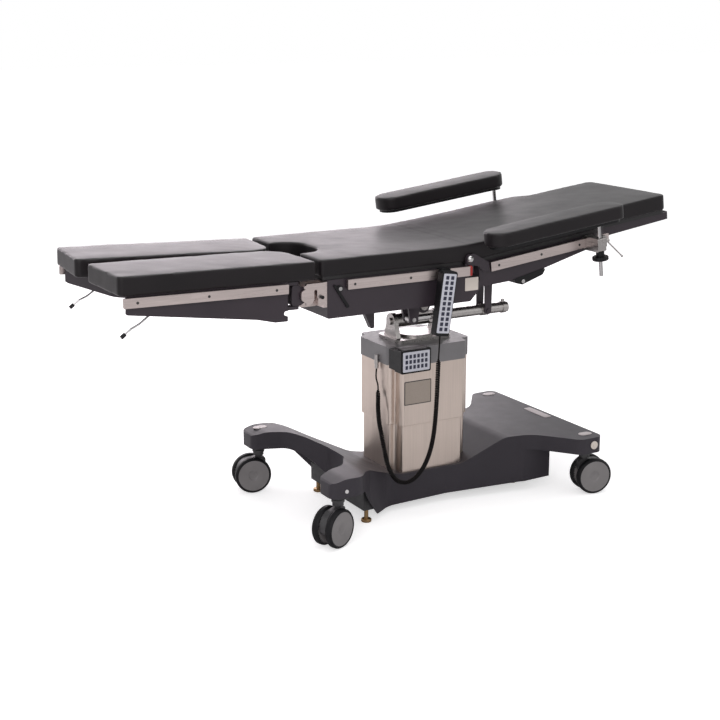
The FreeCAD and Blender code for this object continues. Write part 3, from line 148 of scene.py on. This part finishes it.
def make_camera():
    data = bpy.data.cameras.new("camera")
    data.lens = CAMERA_LENS
    data.sensor_width = CAMERA_SENSOR
    data.clip_start = 0.05
    camera = bpy.data.objects.new("camera", data)
    camera.location = CAMERA_AT + SHIFT
    camera.rotation_euler = (math.pi / 2 - CAMERA_PITCH, 0, -CAMERA_YAW)
    bpy.context.scene.collection.objects.link(camera)
    bpy.context.scene.camera = camera


# Curly cord

def spline_curve(name, points, radius=0.0, sides=3, smooth=6):
    """A curve of one open NURBS spline through the route's control points."""
    data = bpy.data.curves.new(name, "CURVE")
    data.dimensions = "3D"
    data.resolution_u = smooth
    data.bevel_depth = radius
    data.bevel_resolution = sides
    data.use_fill_caps = radius > 0
    spline = data.splines.new("NURBS")
    spline.points.add(len(points) - 1)
    for point, place in zip(spline.points, points):
        point.co = (*place, 1)
    spline.order_u = 3
    spline.use_endpoint_u = True
    return bpy.data.objects.new(name, data)


def along(points):
    """Points read from the route's own spline, in order."""
    route = spline_curve("route", points)
    mesh = bpy.data.meshes.new_from_object(route)
    line = [v.co.copy() for v in mesh.vertices]
    bpy.data.meshes.remove(mesh)
    data = route.data
    bpy.data.objects.remove(route)
    bpy.data.curves.remove(data)
    return line


def even(line, step):
    """The line cut into even steps, as (point, direction) pairs."""
    lengths = [(b - a).length for a, b in zip(line, line[1:])]
    total = sum(lengths)
    count = max(2, round(total / step))
    found = []
    at, done = 0, 0.0
    for i in range(count + 1):
        target = total * i / count
        while at < len(lengths) - 1 and done + lengths[at] < target:
            done += lengths[at]
            at += 1
        share = min(1.0, (target - done) / lengths[at])
        found.append((line[at].lerp(line[at + 1], share), (line[at + 1] - line[at]).normalized()))
    return found


def make_cord():
    """The curly cord from the handset to its socket: a thin lead, the coil and a thin tail."""
    line = even(along([Vector(p) + SHIFT for p in COIL]), COIL_PITCH / TURN_POINTS)
    side = Vector((1, 0, 0))
    coil = []
    radius = COIL_R - CORD_R
    ease = 2 * TURN_POINTS
    for i, (point, way) in enumerate(line):
        side = (side - way * side.dot(way)).normalized()
        third = way.cross(side)
        angle = 2 * math.pi * i / TURN_POINTS
        grow = min(1.0, i / ease, (len(line) - 1 - i) / ease)
        coil.append(point + (side * math.cos(angle) + third * math.sin(angle)) * radius * grow)
    lead = [Vector(p) + SHIFT for p in LEAD[:-1]]
    tail = [Vector(p) + SHIFT for p in TAIL[1:]]
    points = lead + coil + tail
    cord = spline_curve("curly_cord", points, CORD_R, 2, 2)
    bpy.context.scene.collection.objects.link(cord)
    cord.data.materials.append(MATERIALS["cord_rubber"])
    centre = along(points)
    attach(cord, "lift")
    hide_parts("cord_leads", "cord_coil")


# Materials

class Finish:
    """A Principled material whose colour, roughness and bump come from small node networks."""

    def __init__(self, name, roughness, metallic=0.0, specular=0.5):
        self.material = bpy.data.materials.new(name)
        self.material.use_nodes = True
        self.tree = self.material.node_tree
        self.shader = self.tree.nodes["Principled BSDF"]
        self.shader.inputs["Roughness"].default_value = roughness
        self.shader.inputs["Metallic"].default_value = metallic
        self.shader.inputs["Specular IOR Level"].default_value = specular
        self.coords = self.tree.nodes.new("ShaderNodeTexCoord").outputs["Object"]
        self.normal = None

    def node(self, kind, links=(), **inputs):
        made = self.tree.nodes.new(kind)
        for key, value in inputs.items():
            made.inputs[key.replace("_", " ")].default_value = value
        for key, source in links:
            self.tree.links.new(source, made.inputs[key])
        return made

    def stretched(self, scale):
        mapping = self.node("ShaderNodeMapping", [("Vector", self.coords)])
        mapping.inputs["Scale"].default_value = scale
        return mapping.outputs["Vector"]

    def noise(self, scale, detail=3.0, stretch=None):
        source = self.stretched(stretch) if stretch else self.coords
        made = self.node("ShaderNodeTexNoise", [("Vector", source)], Scale=scale, Detail=detail)
        return made.outputs["Fac"]

    def cells(self, scale):
        made = self.node("ShaderNodeTexVoronoi", [("Vector", self.coords)], Scale=scale)
        return made.outputs["Distance"]

    def spread(self, source, low, high, start=0.3, end=0.7):
        """The source's start to end stretched over low to high."""
        made = self.node("ShaderNodeMapRange", [("Value", source)])
        values = (("From Min", start), ("From Max", end), ("To Min", low), ("To Max", high))
        for key, value in values:
            made.inputs[key].default_value = value
        return made.outputs["Result"]

    def blend(self, source, first, second):
        made = self.tree.nodes.new("ShaderNodeMix")
        made.data_type = "RGBA"
        self.tree.links.new(source, made.inputs["Factor"])
        for key, value in (("A", first), ("B", second)):
            socket = [s for s in made.inputs if s.name == key and s.type == "RGBA"][0]
            if hasattr(value, "is_linked"):
                self.tree.links.new(value, socket)
            else:
                socket.default_value = (*value, 1)
        return [s for s in made.outputs if s.type == "RGBA"][0]

    def colour(self, source):
        self.tree.links.new(source, self.shader.inputs["Base Color"])

    def rough(self, source):
        self.tree.links.new(source, self.shader.inputs["Roughness"])

    def bump(self, height, strength, distance):
        links = [("Height", height)]
        if self.normal:
            links.append(("Normal", self.normal))
        made = self.node("ShaderNodeBump", links, Strength=strength, Distance=distance)
        self.normal = made.outputs["Normal"]
        self.tree.links.new(self.normal, self.shader.inputs["Normal"])


def shade(colour, factor):
    return tuple(c * factor for c in colour)


def paint(name, colour, roughness=0.32, orange_peel=0.05, specular=0.5):
    """Sprayed enamel: faint mottling, orange peel and dust-dulled patches."""
    f = Finish(name, roughness, 0.0, specular)
    patches = f.noise(7.0, 4.0)
    f.colour(f.blend(f.spread(patches, 0, 1), shade(colour, 0.92), shade(colour, 1.1)))
    f.rough(f.spread(f.noise(23.0, 4.0), roughness - 0.02, roughness + 0.03))
    f.bump(f.noise(420.0, 2.0), orange_peel, 0.0006)
    return f.material


def plastic(name, colour, roughness=0.45, grain=0.08, specular=0.45):
    """Moulded plastic with a fine spark-eroded grain."""
    f = Finish(name, roughness, 0.0, specular)
    f.colour(f.blend(f.spread(f.noise(11.0, 3.0), 0, 1), shade(colour, 0.93), shade(colour, 1.08)))
    f.rough(f.spread(f.noise(60.0, 4.0), roughness - 0.05, roughness + 0.06))
    f.bump(f.cells(1600.0), grain, 0.0003)
    return f.material


def brushed(name, colour, roughness, stretch, streak=0.12):
    """Brushed metal: long fine streaks along one axis, and faint handling marks."""
    f = Finish(name, roughness, 1.0)
    lines = f.noise(260.0, 5.0, stretch)
    marks = f.noise(5.0, 5.0)
    base = f.blend(f.spread(lines, 0, 1, 0.25, 0.75), shade(colour, 1 - streak), shade(colour, 1 + streak))
    f.colour(f.blend(f.spread(marks, 0, 0.35), base, shade(colour, 0.82)))
    f.rough(f.spread(f.noise(180.0, 4.0, stretch), roughness - 0.06, roughness + 0.08))
    f.bump(lines, 0.04, 0.0004)
    return f.material


def vinyl(name, low, high):
    """Antistatic vinyl: leather grain, soft colour drift and slightly polished patches."""
    f = Finish(name, 0.45, 0.0, 0.27)
    f.shader.inputs["Sheen Weight"].default_value = 0.04
    f.shader.inputs["Sheen Roughness"].default_value = 0.4
    f.colour(f.blend(f.spread(f.noise(6.0, 5.0), 0, 1), low, high))
    f.rough(f.spread(f.noise(14.0, 5.0), 0.41, 0.45))
    f.bump(f.cells(760.0), 0.1, 0.0004)
    f.bump(f.noise(45.0, 4.0), 0.05, 0.002)
    return f.material


def rubber(name, colour, roughness=0.6, specular=0.35):
    f = Finish(name, roughness, 0.0, specular)
    f.colour(f.blend(f.spread(f.noise(30.0, 5.0), 0, 1), shade(colour, 0.8), shade(colour, 1.3)))
    f.rough(f.spread(f.noise(90.0, 4.0), roughness - 0.1, roughness + 0.1))
    f.bump(f.noise(900.0, 2.0), 0.1, 0.0004)
    return f.material


def make_materials():
    steel = (0.61, 0.52, 0.465)
    return {
        "base_paint": paint("base_paint", (0.03, 0.026, 0.033), 0.46, 0.02, 0.3),
        "frame_paint": paint("frame_paint", (0.032, 0.024, 0.031), 0.38, 0.02, 0.4),
        "chassis_paint": paint("chassis_paint", (0.03, 0.03, 0.032), 0.5),
        "power_grey": paint("power_grey", (0.09, 0.095, 0.1), 0.5),
        "cover_steel": brushed("cover_steel", steel, 0.34, (1, 1, 0.02), 0.06),
        "rail_steel": brushed("rail_steel", (0.60, 0.52, 0.50), 0.3, (0.02, 1, 1), 0.12),
        "machined_steel": brushed("machined_steel", (0.42, 0.40, 0.39), 0.3, (1, 0.1, 1), 0.15),
        "chrome": brushed("chrome", (0.5, 0.49, 0.49), 0.2, (1, 1, 1), 0.05),
        "brass": brushed("brass", (0.34, 0.22, 0.11), 0.38, (1, 1, 0.2), 0.15),
        "collar_plastic": plastic("collar_plastic", (0.185, 0.18, 0.186), 0.42),
        "black_plastic": plastic("black_plastic", (0.006, 0.006, 0.007), 0.4, 0.04, 0.25),
        "castor_plastic": plastic("castor_plastic", (0.045, 0.044, 0.046), 0.42),
        "castor_disc": plastic("castor_disc", (0.21, 0.2, 0.2), 0.42),
        "castor_wheel": rubber("castor_wheel", (0.005, 0.005, 0.006), 0.55, 0.2),
        "keypad": plastic("keypad", (0.55, 0.56, 0.62), 0.28, 0.02, 0.5),
        "key": plastic("key", (0.02, 0.022, 0.045), 0.3, 0.02),
        "laminate": plastic("laminate", (0.012, 0.011, 0.012), 0.5),
        "pad_vinyl": vinyl("pad_vinyl", (0.0055, 0.004, 0.005), (0.0095, 0.007, 0.0085)),
        "cord_rubber": rubber("cord_rubber", (0.004, 0.003, 0.003), 0.5, 0.15),
        "white_cap": plastic("white_cap", (0.62, 0.61, 0.61), 0.4, 0.03),
        "red_plastic": plastic("red_plastic", (0.36, 0.02, 0.015), 0.4),
        "cream_plate": plastic("cream_plate", (0.66, 0.6, 0.54), 0.4, 0.02),
        "pale_plate": plastic("pale_plate", (0.55, 0.5, 0.5), 0.42, 0.02),
        "name_plate": brushed("name_plate", (0.36, 0.31, 0.27), 0.4, (1, 1, 1), 0.05),
        "screw_dark": plastic("screw_dark", (0.03, 0.028, 0.028), 0.4, 0.02),
    }


# Meshes

def applied(piece):
    """The piece's mesh with its modifiers applied, in place of the old one."""
    bpy.context.view_layer.update()
    graph = bpy.context.evaluated_depsgraph_get()
    mesh = bpy.data.meshes.new_from_object(piece.evaluated_get(graph))
    piece.modifiers.clear()
    piece.data = mesh
    return mesh


def joined(name, nodes, extra=None):
    """One mesh of several frame nodes and an extra solid."""
    bm = bmesh.new()
    for node in nodes:
        bm.from_mesh(NODES[node].data)
    if extra:
        extra(bm)
    bmesh.ops.remove_doubles(bm, verts=bm.verts, dist=WELD)
    mesh = bpy.data.meshes.new(name)
    bm.to_mesh(mesh)
    bm.free()
    return mesh


def prism(bm, outline, half):
    """A closed solid of an outline in XZ, from -half to half in Y."""
    rings = [[bm.verts.new((x, y, z)) for x, z in outline] for y in (-half, half)]
    count = len(outline)
    for i in range(count):
        k = (i + 1) % count
        bm.faces.new((rings[0][i], rings[0][k], rings[1][k], rings[1][i]))
    bm.faces.new(rings[0][::-1])
    bm.faces.new(rings[1])
    bmesh.ops.recalc_face_normals(bm, faces=bm.faces[:])


def hinge_fill(bm):
    """Closes the wedge between the seat pad and the back pad, where the real cushion runs through."""
    seat_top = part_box("seat_pad")[1].z
    seat_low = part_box("seat_pad")[0].z
    lap, rise = 0.004, 0.0005
    lift = Matrix.Rotation(-BACK_RISE, 4, "Y")
    low = HINGE + lift @ Vector((FILL_REACH, 0, seat_low - HINGE.z))
    top = HINGE + lift @ Vector((FILL_REACH, 0, seat_low - HINGE.z + FILL_THICK))
    outline = [
        (HINGE.x - FILL_REACH, seat_low), (low.x, low.z), (top.x, top.z),
        (HINGE.x - lap, seat_top + rise), (HINGE.x - FILL_REACH, seat_top),
    ]
    prism(bm, outline, PAD_HALF)


def pad_surface(mesh, up, corners, fold=None):
    """Rounds, crowns and pulls in a remeshed pad. Its top faces up, and runs round over a fold at an X."""
    steep, level_least = 0.35, 0.3
    all_axes = {"use_axis_x": True, "use_axis_y": True, "use_axis_z": True}
    bm = bmesh.new()
    bm.from_mesh(mesh)
    for _ in range(SOFT_PASSES):
        bmesh.ops.smooth_vert(bm, verts=bm.verts, factor=0.5, **all_axes)
    bm.normal_update()
    sides = [v for v in bm.verts if abs(v.normal.dot(up)) < steep]
    tree = KDTree(len(sides))
    for i, v in enumerate(sides):
        tree.insert(v.co - up * v.co.dot(up), i)
    tree.balance()
    ends = KDTree(len(corners))
    for i, c in enumerate(corners):
        ends.insert(Vector((c[0], c[1], 0)), i)
    ends.balance()
    moves = []
    for v in bm.verts:
        flat = v.co - up * v.co.dot(up)
        edge = tree.find(flat)[2]
        corner = ends.find(Vector((v.co.x, v.co.y, 0)))[2]
        facing = v.normal.dot(up)
        move = Vector()
        if facing > 0:
            wave = sum(noise.noise(v.co * scale) * height for scale, height in TOP_WAVES)
            move += up * (facing * (CROWN + wave - EDGE_DROP * math.exp(-edge / EDGE_REACH)))
            if fold is not None:
                reach = max(0.0, FOLD_EASE - abs(v.co.x - fold))
                move += up * (facing * math.tan(BACK_RISE) * reach * reach / (4 * FOLD_EASE))
        level = 1 - abs(facing)
        if level > level_least:
            pull = PULL_IN * (1 - math.exp(-corner / CORNER_REACH))
            ripple = noise.noise(v.co * SIDE_WAVE[0]) * SIDE_WAVE[1]
            outward = (v.normal - up * facing).normalized()
            move += outward * level * (ripple - pull)
        moves.append(move)
    for v, move in zip(bm.verts, moves):
        v.co += move
    bm.to_mesh(mesh)
    bm.free()


def make_pad(name, nodes, up, corners, extra=None, fold=None):
    """A soft pad in the space of its frame nodes, closed, rounded and covered in vinyl."""
    mesh = joined(name, nodes, extra)
    piece = bpy.data.objects.new(name, mesh)
    bpy.context.scene.collection.objects.link(piece)
    remesh = piece.modifiers.new("remesh", "REMESH")
    remesh.mode = "VOXEL"
    remesh.voxel_size = VOXEL
    mesh = applied(piece)
    pad_surface(mesh, up, corners, fold)
    for polygon in mesh.polygons:
        polygon.use_smooth = True
    subdivision = piece.modifiers.new("subdivision", "SUBSURF")
    subdivision.levels = 1
    subdivision.render_levels = 1
    mesh = applied(piece)
    mesh.materials.clear()
    mesh.materials.append(MATERIALS["pad_vinyl"])
    for polygon in mesh.polygons:
        polygon.use_smooth = True
    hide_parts(*nodes)
    return piece


def box_corners(node):
    """The node's four corners seen from above."""
    low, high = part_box(node)
    return [(x, y) for x in (low.x, high.x) for y in (low.y, high.y)]


def make_pads():
    """One cushion over seat and back that bends at the hinge, and one on each leg and arm."""
    lift = Matrix.Rotation(-BACK_RISE, 4, "Y")
    seat = make_pad("seat_back_pad", ["seat_pad", "back_pad"], Vector((0, 0, 1)),
                    box_corners("seat_pad")[:2] + box_corners("back_pad")[2:], hinge_fill, HINGE.x)
    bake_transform(seat)
    for side in SIDES:
        leg = side + "_leg_pad"
        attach(make_pad(side + "_leg_cushion", [leg], Vector((0, 0, 1)), box_corners(leg)), side + "_leg")
        arm = side + "_arm_pad"
        up = lift @ Vector((0, 0, 1))
        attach(make_pad(side + "_arm_cushion", [arm], up, box_corners(arm)), side + "_arm")


# Frame nodes

def slots_of_nodes():
    return {row["node"]: row["material_slot"] for row in frame["record"]["subparts"]}


def finish_nodes():
    """Gives each carried-over node its finish, softened edges and clean shading."""
    for name, slot in slots_of_nodes().items():
        node = NODES[name]
        node.data.materials.clear()
        node.data.materials.append(MATERIALS[slot])
        for polygon in node.data.polygons:
            polygon.material_index = 0
        weld = node.modifiers.new("weld", "WELD")
        weld.merge_threshold = WELD
        bevel = node.modifiers.new("bevel", "BEVEL")
        bevel.width = EDGES.get(name, EDGE_WIDTH)
        bevel.segments = 3 if name in EDGES else 2
        bevel.limit_method = "ANGLE"
        bevel.angle_limit = EDGE_ANGLE
        bevel.harden_normals = False
        even_normals = node.modifiers.new("normals", "WEIGHTED_NORMAL")
        even_normals.keep_sharp = False
        even_normals.weight = 80


def paint_castors():
    """Grey discs inside a black tread on each wheel."""
    for name, node in NODES.items():
        if not name.startswith("castor_wheels"):
            continue
        corner = name.replace("castor_wheels_", "")
        joint = JOINT["roll_" + corner]
        centre = Vector(joint["pos_m"])
        axis = Vector(joint["axis"])
        outer = max((v.co - centre - axis * (v.co - centre).dot(axis)).length for v in node.data.vertices)
        node.data.materials.append(MATERIALS["castor_disc"])
        for polygon in node.data.polygons:
            arm = polygon.center - centre
            radius = (arm - axis * arm.dot(axis)).length
            polygon.material_index = 1 if radius < outer - TYRE else 0


# Small pieces

def rounded_block(bm, centre, axes, sizes, radius):
    """A box on three axes with its upright edges rounded, its face along the third axis crowned."""
    x, y, z = axes
    a, b, c = (s / 2 for s in sizes)
    outline = []
    for sx, sy, start in ((1, 1, 0), (-1, 1, 90), (-1, -1, 180), (1, -1, 270)):
        for turn in (0, 30, 60, 90):
            t = math.radians(start + turn)
            u = sx * (a - radius) + radius * math.cos(t)
            v = sy * (b - radius) + radius * math.sin(t)
            outline.append((u, v))
    rings = []
    for share, height in ((1.0, -c), (1.0, c * 0.4), (0.86, c)):
        ring = [centre + x * (u * share) + y * (v * share) + z * height for u, v in outline]
        rings.append([bm.verts.new(point) for point in ring])
    count = len(outline)
    for low, high in zip(rings, rings[1:]):
        for i in range(count):
            k = (i + 1) % count
            bm.faces.new((low[i], low[k], high[k], high[i]))
    bm.faces.new(rings[-1])
    bm.faces.new(rings[0][::-1])


def finished(bm, name, finish, body):
    """A flat-shaded piece made from the bmesh, with its finish, riding on its body."""
    bmesh.ops.recalc_face_normals(bm, faces=bm.faces[:])
    mesh = bpy.data.meshes.new(name)
    bm.to_mesh(mesh)
    bm.free()
    mesh.materials.append(MATERIALS[finish])
    piece = bpy.data.objects.new(name, mesh)
    bpy.context.scene.collection.objects.link(piece)
    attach(piece, body)


def keys(name, node, body, columns, rows, size, tilt, margin):
    """A grid of unmarked membrane keys on a keypad that faces -Y."""
    low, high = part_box(node)
    centre = (low + high) / 2
    across = Vector((math.cos(tilt), 0, -math.sin(tilt)))
    along_pad = Vector((math.sin(tilt), 0, math.cos(tilt)))
    width = high.x - low.x
    height = high.z - low.z
    if tilt:
        long, short = height, width
        height = (long * math.cos(tilt) - short * math.sin(tilt)) / math.cos(2 * tilt)
        width = (short * math.cos(tilt) - long * math.sin(tilt)) / math.cos(2 * tilt)
    step_x = (width - 2 * margin) / columns
    step_z = (height - 2 * margin) / rows
    bm = bmesh.new()
    face = Vector((centre.x, low.y - 0.0002, centre.z))
    for i in range(columns):
        for k in range(rows):
            at = face + across * ((i + 0.5) * step_x - (width / 2 - margin))
            at += along_pad * ((k + 0.5) * step_z - (height / 2 - margin))
            rounded_block(bm, at, (across, along_pad, Vector((0, -1, 0))), (*size, 0.0012), 0.0015)
    finished(bm, name, "key", body)


def disc(bm, centre, axis, radius, thick, segments=32):
    """A low round cap with a chamfered rim."""
    dome = 0.25
    axis = axis.normalized()
    side = axis.orthogonal().normalized()
    third = axis.cross(side)
    rings = []
    for share, height in ((1.0, 0.0), (1.0, thick * (1 - dome)), (1 - dome, thick)):
        ring = []
        for i in range(segments):
            t = 2 * math.pi * i / segments
            offset = (side * math.cos(t) + third * math.sin(t)) * radius * share
            ring.append(bm.verts.new(centre + offset + axis * height))
        rings.append(ring)
    for low, high in zip(rings, rings[1:]):
        for i in range(segments):
            k = (i + 1) % segments
            bm.faces.new((low[i], low[k], high[k], high[i]))
    bm.faces.new(rings[-1])
    bm.faces.new(rings[0][::-1])


def placed(x, y, z):
    """A point given from the castors' centre."""
    return Vector((x, y, z)) + SHIFT


def on_back(x, y, z):
    """A point of the unraised back section, raised with it."""
    hinge = HINGE - SHIFT
    return hinge + Matrix.Rotation(-BACK_RISE, 4, "Y") @ (Vector((x, y, z)) - hinge) + SHIFT


def on_leg(side, x, y, z):
    """A point of the unraised near leg section, where the given side's leg stands."""
    raised = KNEE + Matrix.Rotation(LEG_RISE, 4, "Y") @ (Vector((x, y, z)) - KNEE) + SHIFT
    pin = Vector(JOINT["near_leg_spread"]["pos_m"])
    axis = Vector((math.sin(LEG_RISE), 0, math.cos(LEG_RISE)))
    at = pin + Matrix.Rotation(LEG_SPREAD[side], 4, axis) @ (raised - pin)
    return at if side == "near" else Vector((at.x, -at.y, at.z))


def plate(name, at, size, radius, finish, body, axes=None):
    """A thin bare plate. Its axes run across, up and out of its face."""
    bm = bmesh.new()
    rounded_block(bm, at, axes or (Vector((1, 0, 0)), Vector((0, 0, 1)), Vector((0, -1, 0))), size, radius)
    finished(bm, name, finish, body)


def make_caps():
    """Bare caps, plates and bolts on the base, the column and the seat frame."""
    flat = (Vector((1, 0, 0)), Vector((0, 1, 0)), Vector((0, 0, 1)))
    forward = Vector((0, -1, 0))
    for name, at in CAPS.items():
        plate(name + "_cap", placed(*at), CAP_SIZE, 0.0148, "pale_plate", "base", flat)
    plate("end_plate", placed(0.5, 0.005, 0.2052), (0.03, 0.13, 0.003), 0.006, "pale_plate", "base", flat)
    rim = placed(-0.0935, -0.1331, 0.398)
    plate("name_plate_rim", rim, (0.103, 0.08, 0.001), 0.003, "screw_dark", "lift")
    plate("name_plate", placed(-0.0935, -0.1336, 0.398), (0.097, 0.074, 0.001), 0.002, "name_plate", "lift")
    plate("cheek_plate", placed(0.036, -0.2423, 0.764), (0.05, 0.042, 0.001), 0.002, "cream_plate", "seat")
    plate("rail_cap", placed(0.0215, -0.255, 0.81), (0.008, 0.033, 0.013), 0.003, "red_plastic", "seat")
    bm = bmesh.new()
    disc(bm, placed(-0.468, TIP_FACE_Y, 0.182), forward, 0.006, 0.003)
    finished(bm, "tip_bolt", "white_cap", "base")
    bm = bmesh.new()
    disc(bm, placed(0.243, -0.234, 0.751), forward, 0.0065, 0.003)
    finished(bm, "lock_bolt", "chrome", "back")
    bm = bmesh.new()
    disc(bm, placed(0.49, TIP_FACE_Y, 0.178), forward, 0.014, 0.004)
    disc(bm, placed(0.49, TIP_FACE_Y - 0.004, 0.178), forward, 0.006, 0.002)
    finished(bm, "tip_button", "cream_plate", "base")


def make_screws():
    """Dark sunk screws along each rail."""
    face = 0.26
    for side, s in SIDES.items():
        out = Vector((0, s, 0))
        leg_screws = []
        for x in LEG_SCREWS:
            at = on_leg(side, x, -face, 0.815)
            leg_screws.append((at, on_leg(side, x, -face - 0.01, 0.815) - at))
        groups = {
            "seat": [(placed(x, s * face, 0.81), out) for x in SEAT_SCREWS],
            "back": [(on_back(HINGE_FROM_CASTORS + u, s * face, 0.807), out) for u in BACK_SCREWS],
            side + "_leg": leg_screws,
        }
        for body, screws in groups.items():
            bm = bmesh.new()
            for at, way in screws:
                way = way.normalized()
                disc(bm, at - way * 0.0004, way, SCREW_R, 0.0012, 16)
            finished(bm, body + "_" + side + "_screws", "screw_dark", body)


def paint_parts():
    """Second finishes on a node: dark grips and knobs, bright bolts."""
    for side in SIDES:
        node = NODES[side + "_release_lever"]
        node.data.materials.append(MATERIALS["black_plastic"])
        end = on_leg(side, *LEVER_END)
        for polygon in node.data.polygons:
            if (polygon.center - end).length < LEVER_GRIP:
                polygon.material_index = 1
        node = NODES[side + "_lock_lever"]
        node.data.materials.append(MATERIALS["chrome"])
        for polygon in node.data.polygons:
            if abs(polygon.center.y) > LEVER_BOLT_Y:
                polygon.material_index = 1
        node = NODES[side + "_arm_board"]
        node.data.materials.append(MATERIALS["chrome"])
        joint = JOINT[side + "_arm_swing"]
        at, up = Vector(joint["pos_m"]), Vector(joint["axis"])
        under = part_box(side + "_arm_pad")[0].z
        for polygon in node.data.polygons:
            arm = polygon.center - at
            if (arm - up * arm.dot(up)).length < POST_R and polygon.center.z < under - 0.01:
                polygon.material_index = 1
    node = NODES["back_frame"]
    node.data.materials.append(MATERIALS["black_plastic"])
    low, high = placed(*LOCK_LOW), placed(*LOCK_HIGH)
    for polygon in node.data.polygons:
        inside = all(a - 0.001 <= c <= b + 0.001 for a, c, b in zip(low, polygon.center, high))
        if inside and polygon.center.z < LOCK_TOP:
            polygon.material_index = 1
    node = NODES["knee_brackets"]
    node.data.materials.append(MATERIALS["black_plastic"])
    for polygon in node.data.polygons:
        if abs(polygon.center.y) > KNOB_Y and polygon.center.x > placed(KNOB_X, 0, 0).x:
            polygon.material_index = 1


def make_keys():
    """Unmarked keys on the column's panel and on the handset."""
    keys("panel_keys", "panel_keypad", "lift", 6, 3, (0.0095, 0.0125), 0.0, 0.006)
    keys("handset_keys", "handset_keypad", "seat", 2, 11, (0.0115, 0.0115), HANDSET_TILT, 0.004)


# Light and stage

def area_light(name, at, target, size, power, colour=(1, 1, 1)):
    data = bpy.data.lights.new(name, "AREA")
    data.shape = "RECTANGLE"
    data.size = size[0]
    data.size_y = size[1]
    data.energy = power
    data.color = colour
    lamp = bpy.data.objects.new(name, data)
    lamp.location = at
    lamp.rotation_euler = (Vector(target) - Vector(at)).to_track_quat("-Z", "Y").to_euler()
    lamp.visible_camera = False
    bpy.context.scene.collection.objects.link(lamp)


def make_world():
    """White for the camera, mirrors and glass; a softer level for matt surfaces."""
    world = bpy.data.worlds.new("studio")
    bpy.context.scene.world = world
    world.use_nodes = True
    tree = world.node_tree
    shown = tree.nodes["Background"]
    shown.inputs["Color"].default_value = (1, 1, 1, 1)
    shown.inputs["Strength"].default_value = 1.0
    soft = tree.nodes.new("ShaderNodeBackground")
    soft.inputs["Color"].default_value = (1, 0.99, 1.0, 1)
    soft.inputs["Strength"].default_value = WORLD_SOFT
    path = tree.nodes.new("ShaderNodeLightPath")
    seen = path.outputs["Is Camera Ray"]
    for ray in ("Is Glossy Ray", "Is Transmission Ray"):
        either = tree.nodes.new("ShaderNodeMath")
        either.operation = "MAXIMUM"
        tree.links.new(seen, either.inputs[0])
        tree.links.new(path.outputs[ray], either.inputs[1])
        seen = either.outputs[0]
    mixed = tree.nodes.new("ShaderNodeMixShader")
    tree.links.new(seen, mixed.inputs[0])
    tree.links.new(soft.outputs[0], mixed.inputs[1])
    tree.links.new(shown.outputs[0], mixed.inputs[2])
    tree.links.new(mixed.outputs[0], tree.nodes["World Output"].inputs[0])


def make_floor():
    """A pale floor that reads white round the object and keeps its shadow."""
    corners = [(x * FLOOR_HALF, y * FLOOR_HALF, 0) for x, y in ((-1, -1), (1, -1), (1, 1), (-1, 1))]
    mesh = bpy.data.meshes.new("floor")
    mesh.from_pydata(corners, [], [(0, 1, 2, 3)])
    floor = bpy.data.objects.new("floor", mesh)
    bpy.context.scene.collection.objects.link(floor)
    finish = Finish("floor", 0.9, 0.0, 0.0)
    finish.shader.inputs["Base Color"].default_value = (0.9, 0.9, 0.9, 1)
    tree = finish.tree
    path = tree.nodes.new("ShaderNodeLightPath")
    glow = tree.nodes.new("ShaderNodeEmission")
    glow.inputs["Strength"].default_value = FLOOR_GLOW
    clear = tree.nodes.new("ShaderNodeMixShader")
    black = tree.nodes.new("ShaderNodeEmission")
    black.inputs["Strength"].default_value = 0.0
    tree.links.new(path.outputs["Is Camera Ray"], clear.inputs[0])
    tree.links.new(black.outputs[0], clear.inputs[1])
    tree.links.new(glow.outputs[0], clear.inputs[2])
    added = tree.nodes.new("ShaderNodeAddShader")
    tree.links.new(finish.shader.outputs[0], added.inputs[0])
    tree.links.new(clear.outputs[0], added.inputs[1])
    tree.links.new(added.outputs[0], tree.nodes["Material Output"].inputs[0])
    mesh.materials.append(finish.material)


def make_lights():
    area_light("overhead", (0, 0, 3.4), (0, 0, 0.8), (3.6, 2.4), 45)
    area_light("front", (-2.4, -3.4, 2.2), (0, 0, 0.6), (2.4, 2.0), 42, (1, 0.95, 0.975))
    area_light("rear_sheen", (0.25, 4.2, 1.5), (0.0, 0, 0.9), (6.0, 1.2), 88, (1, 0.89, 0.955))


MATERIALS = make_materials()
make_camera()
make_cord()
make_world()
make_floor()
make_lights()
finish_nodes()
paint_castors()
make_pads()
make_keys()
make_caps()
make_screws()
paint_parts()
bpy.context.scene.view_settings.view_transform = "Standard"
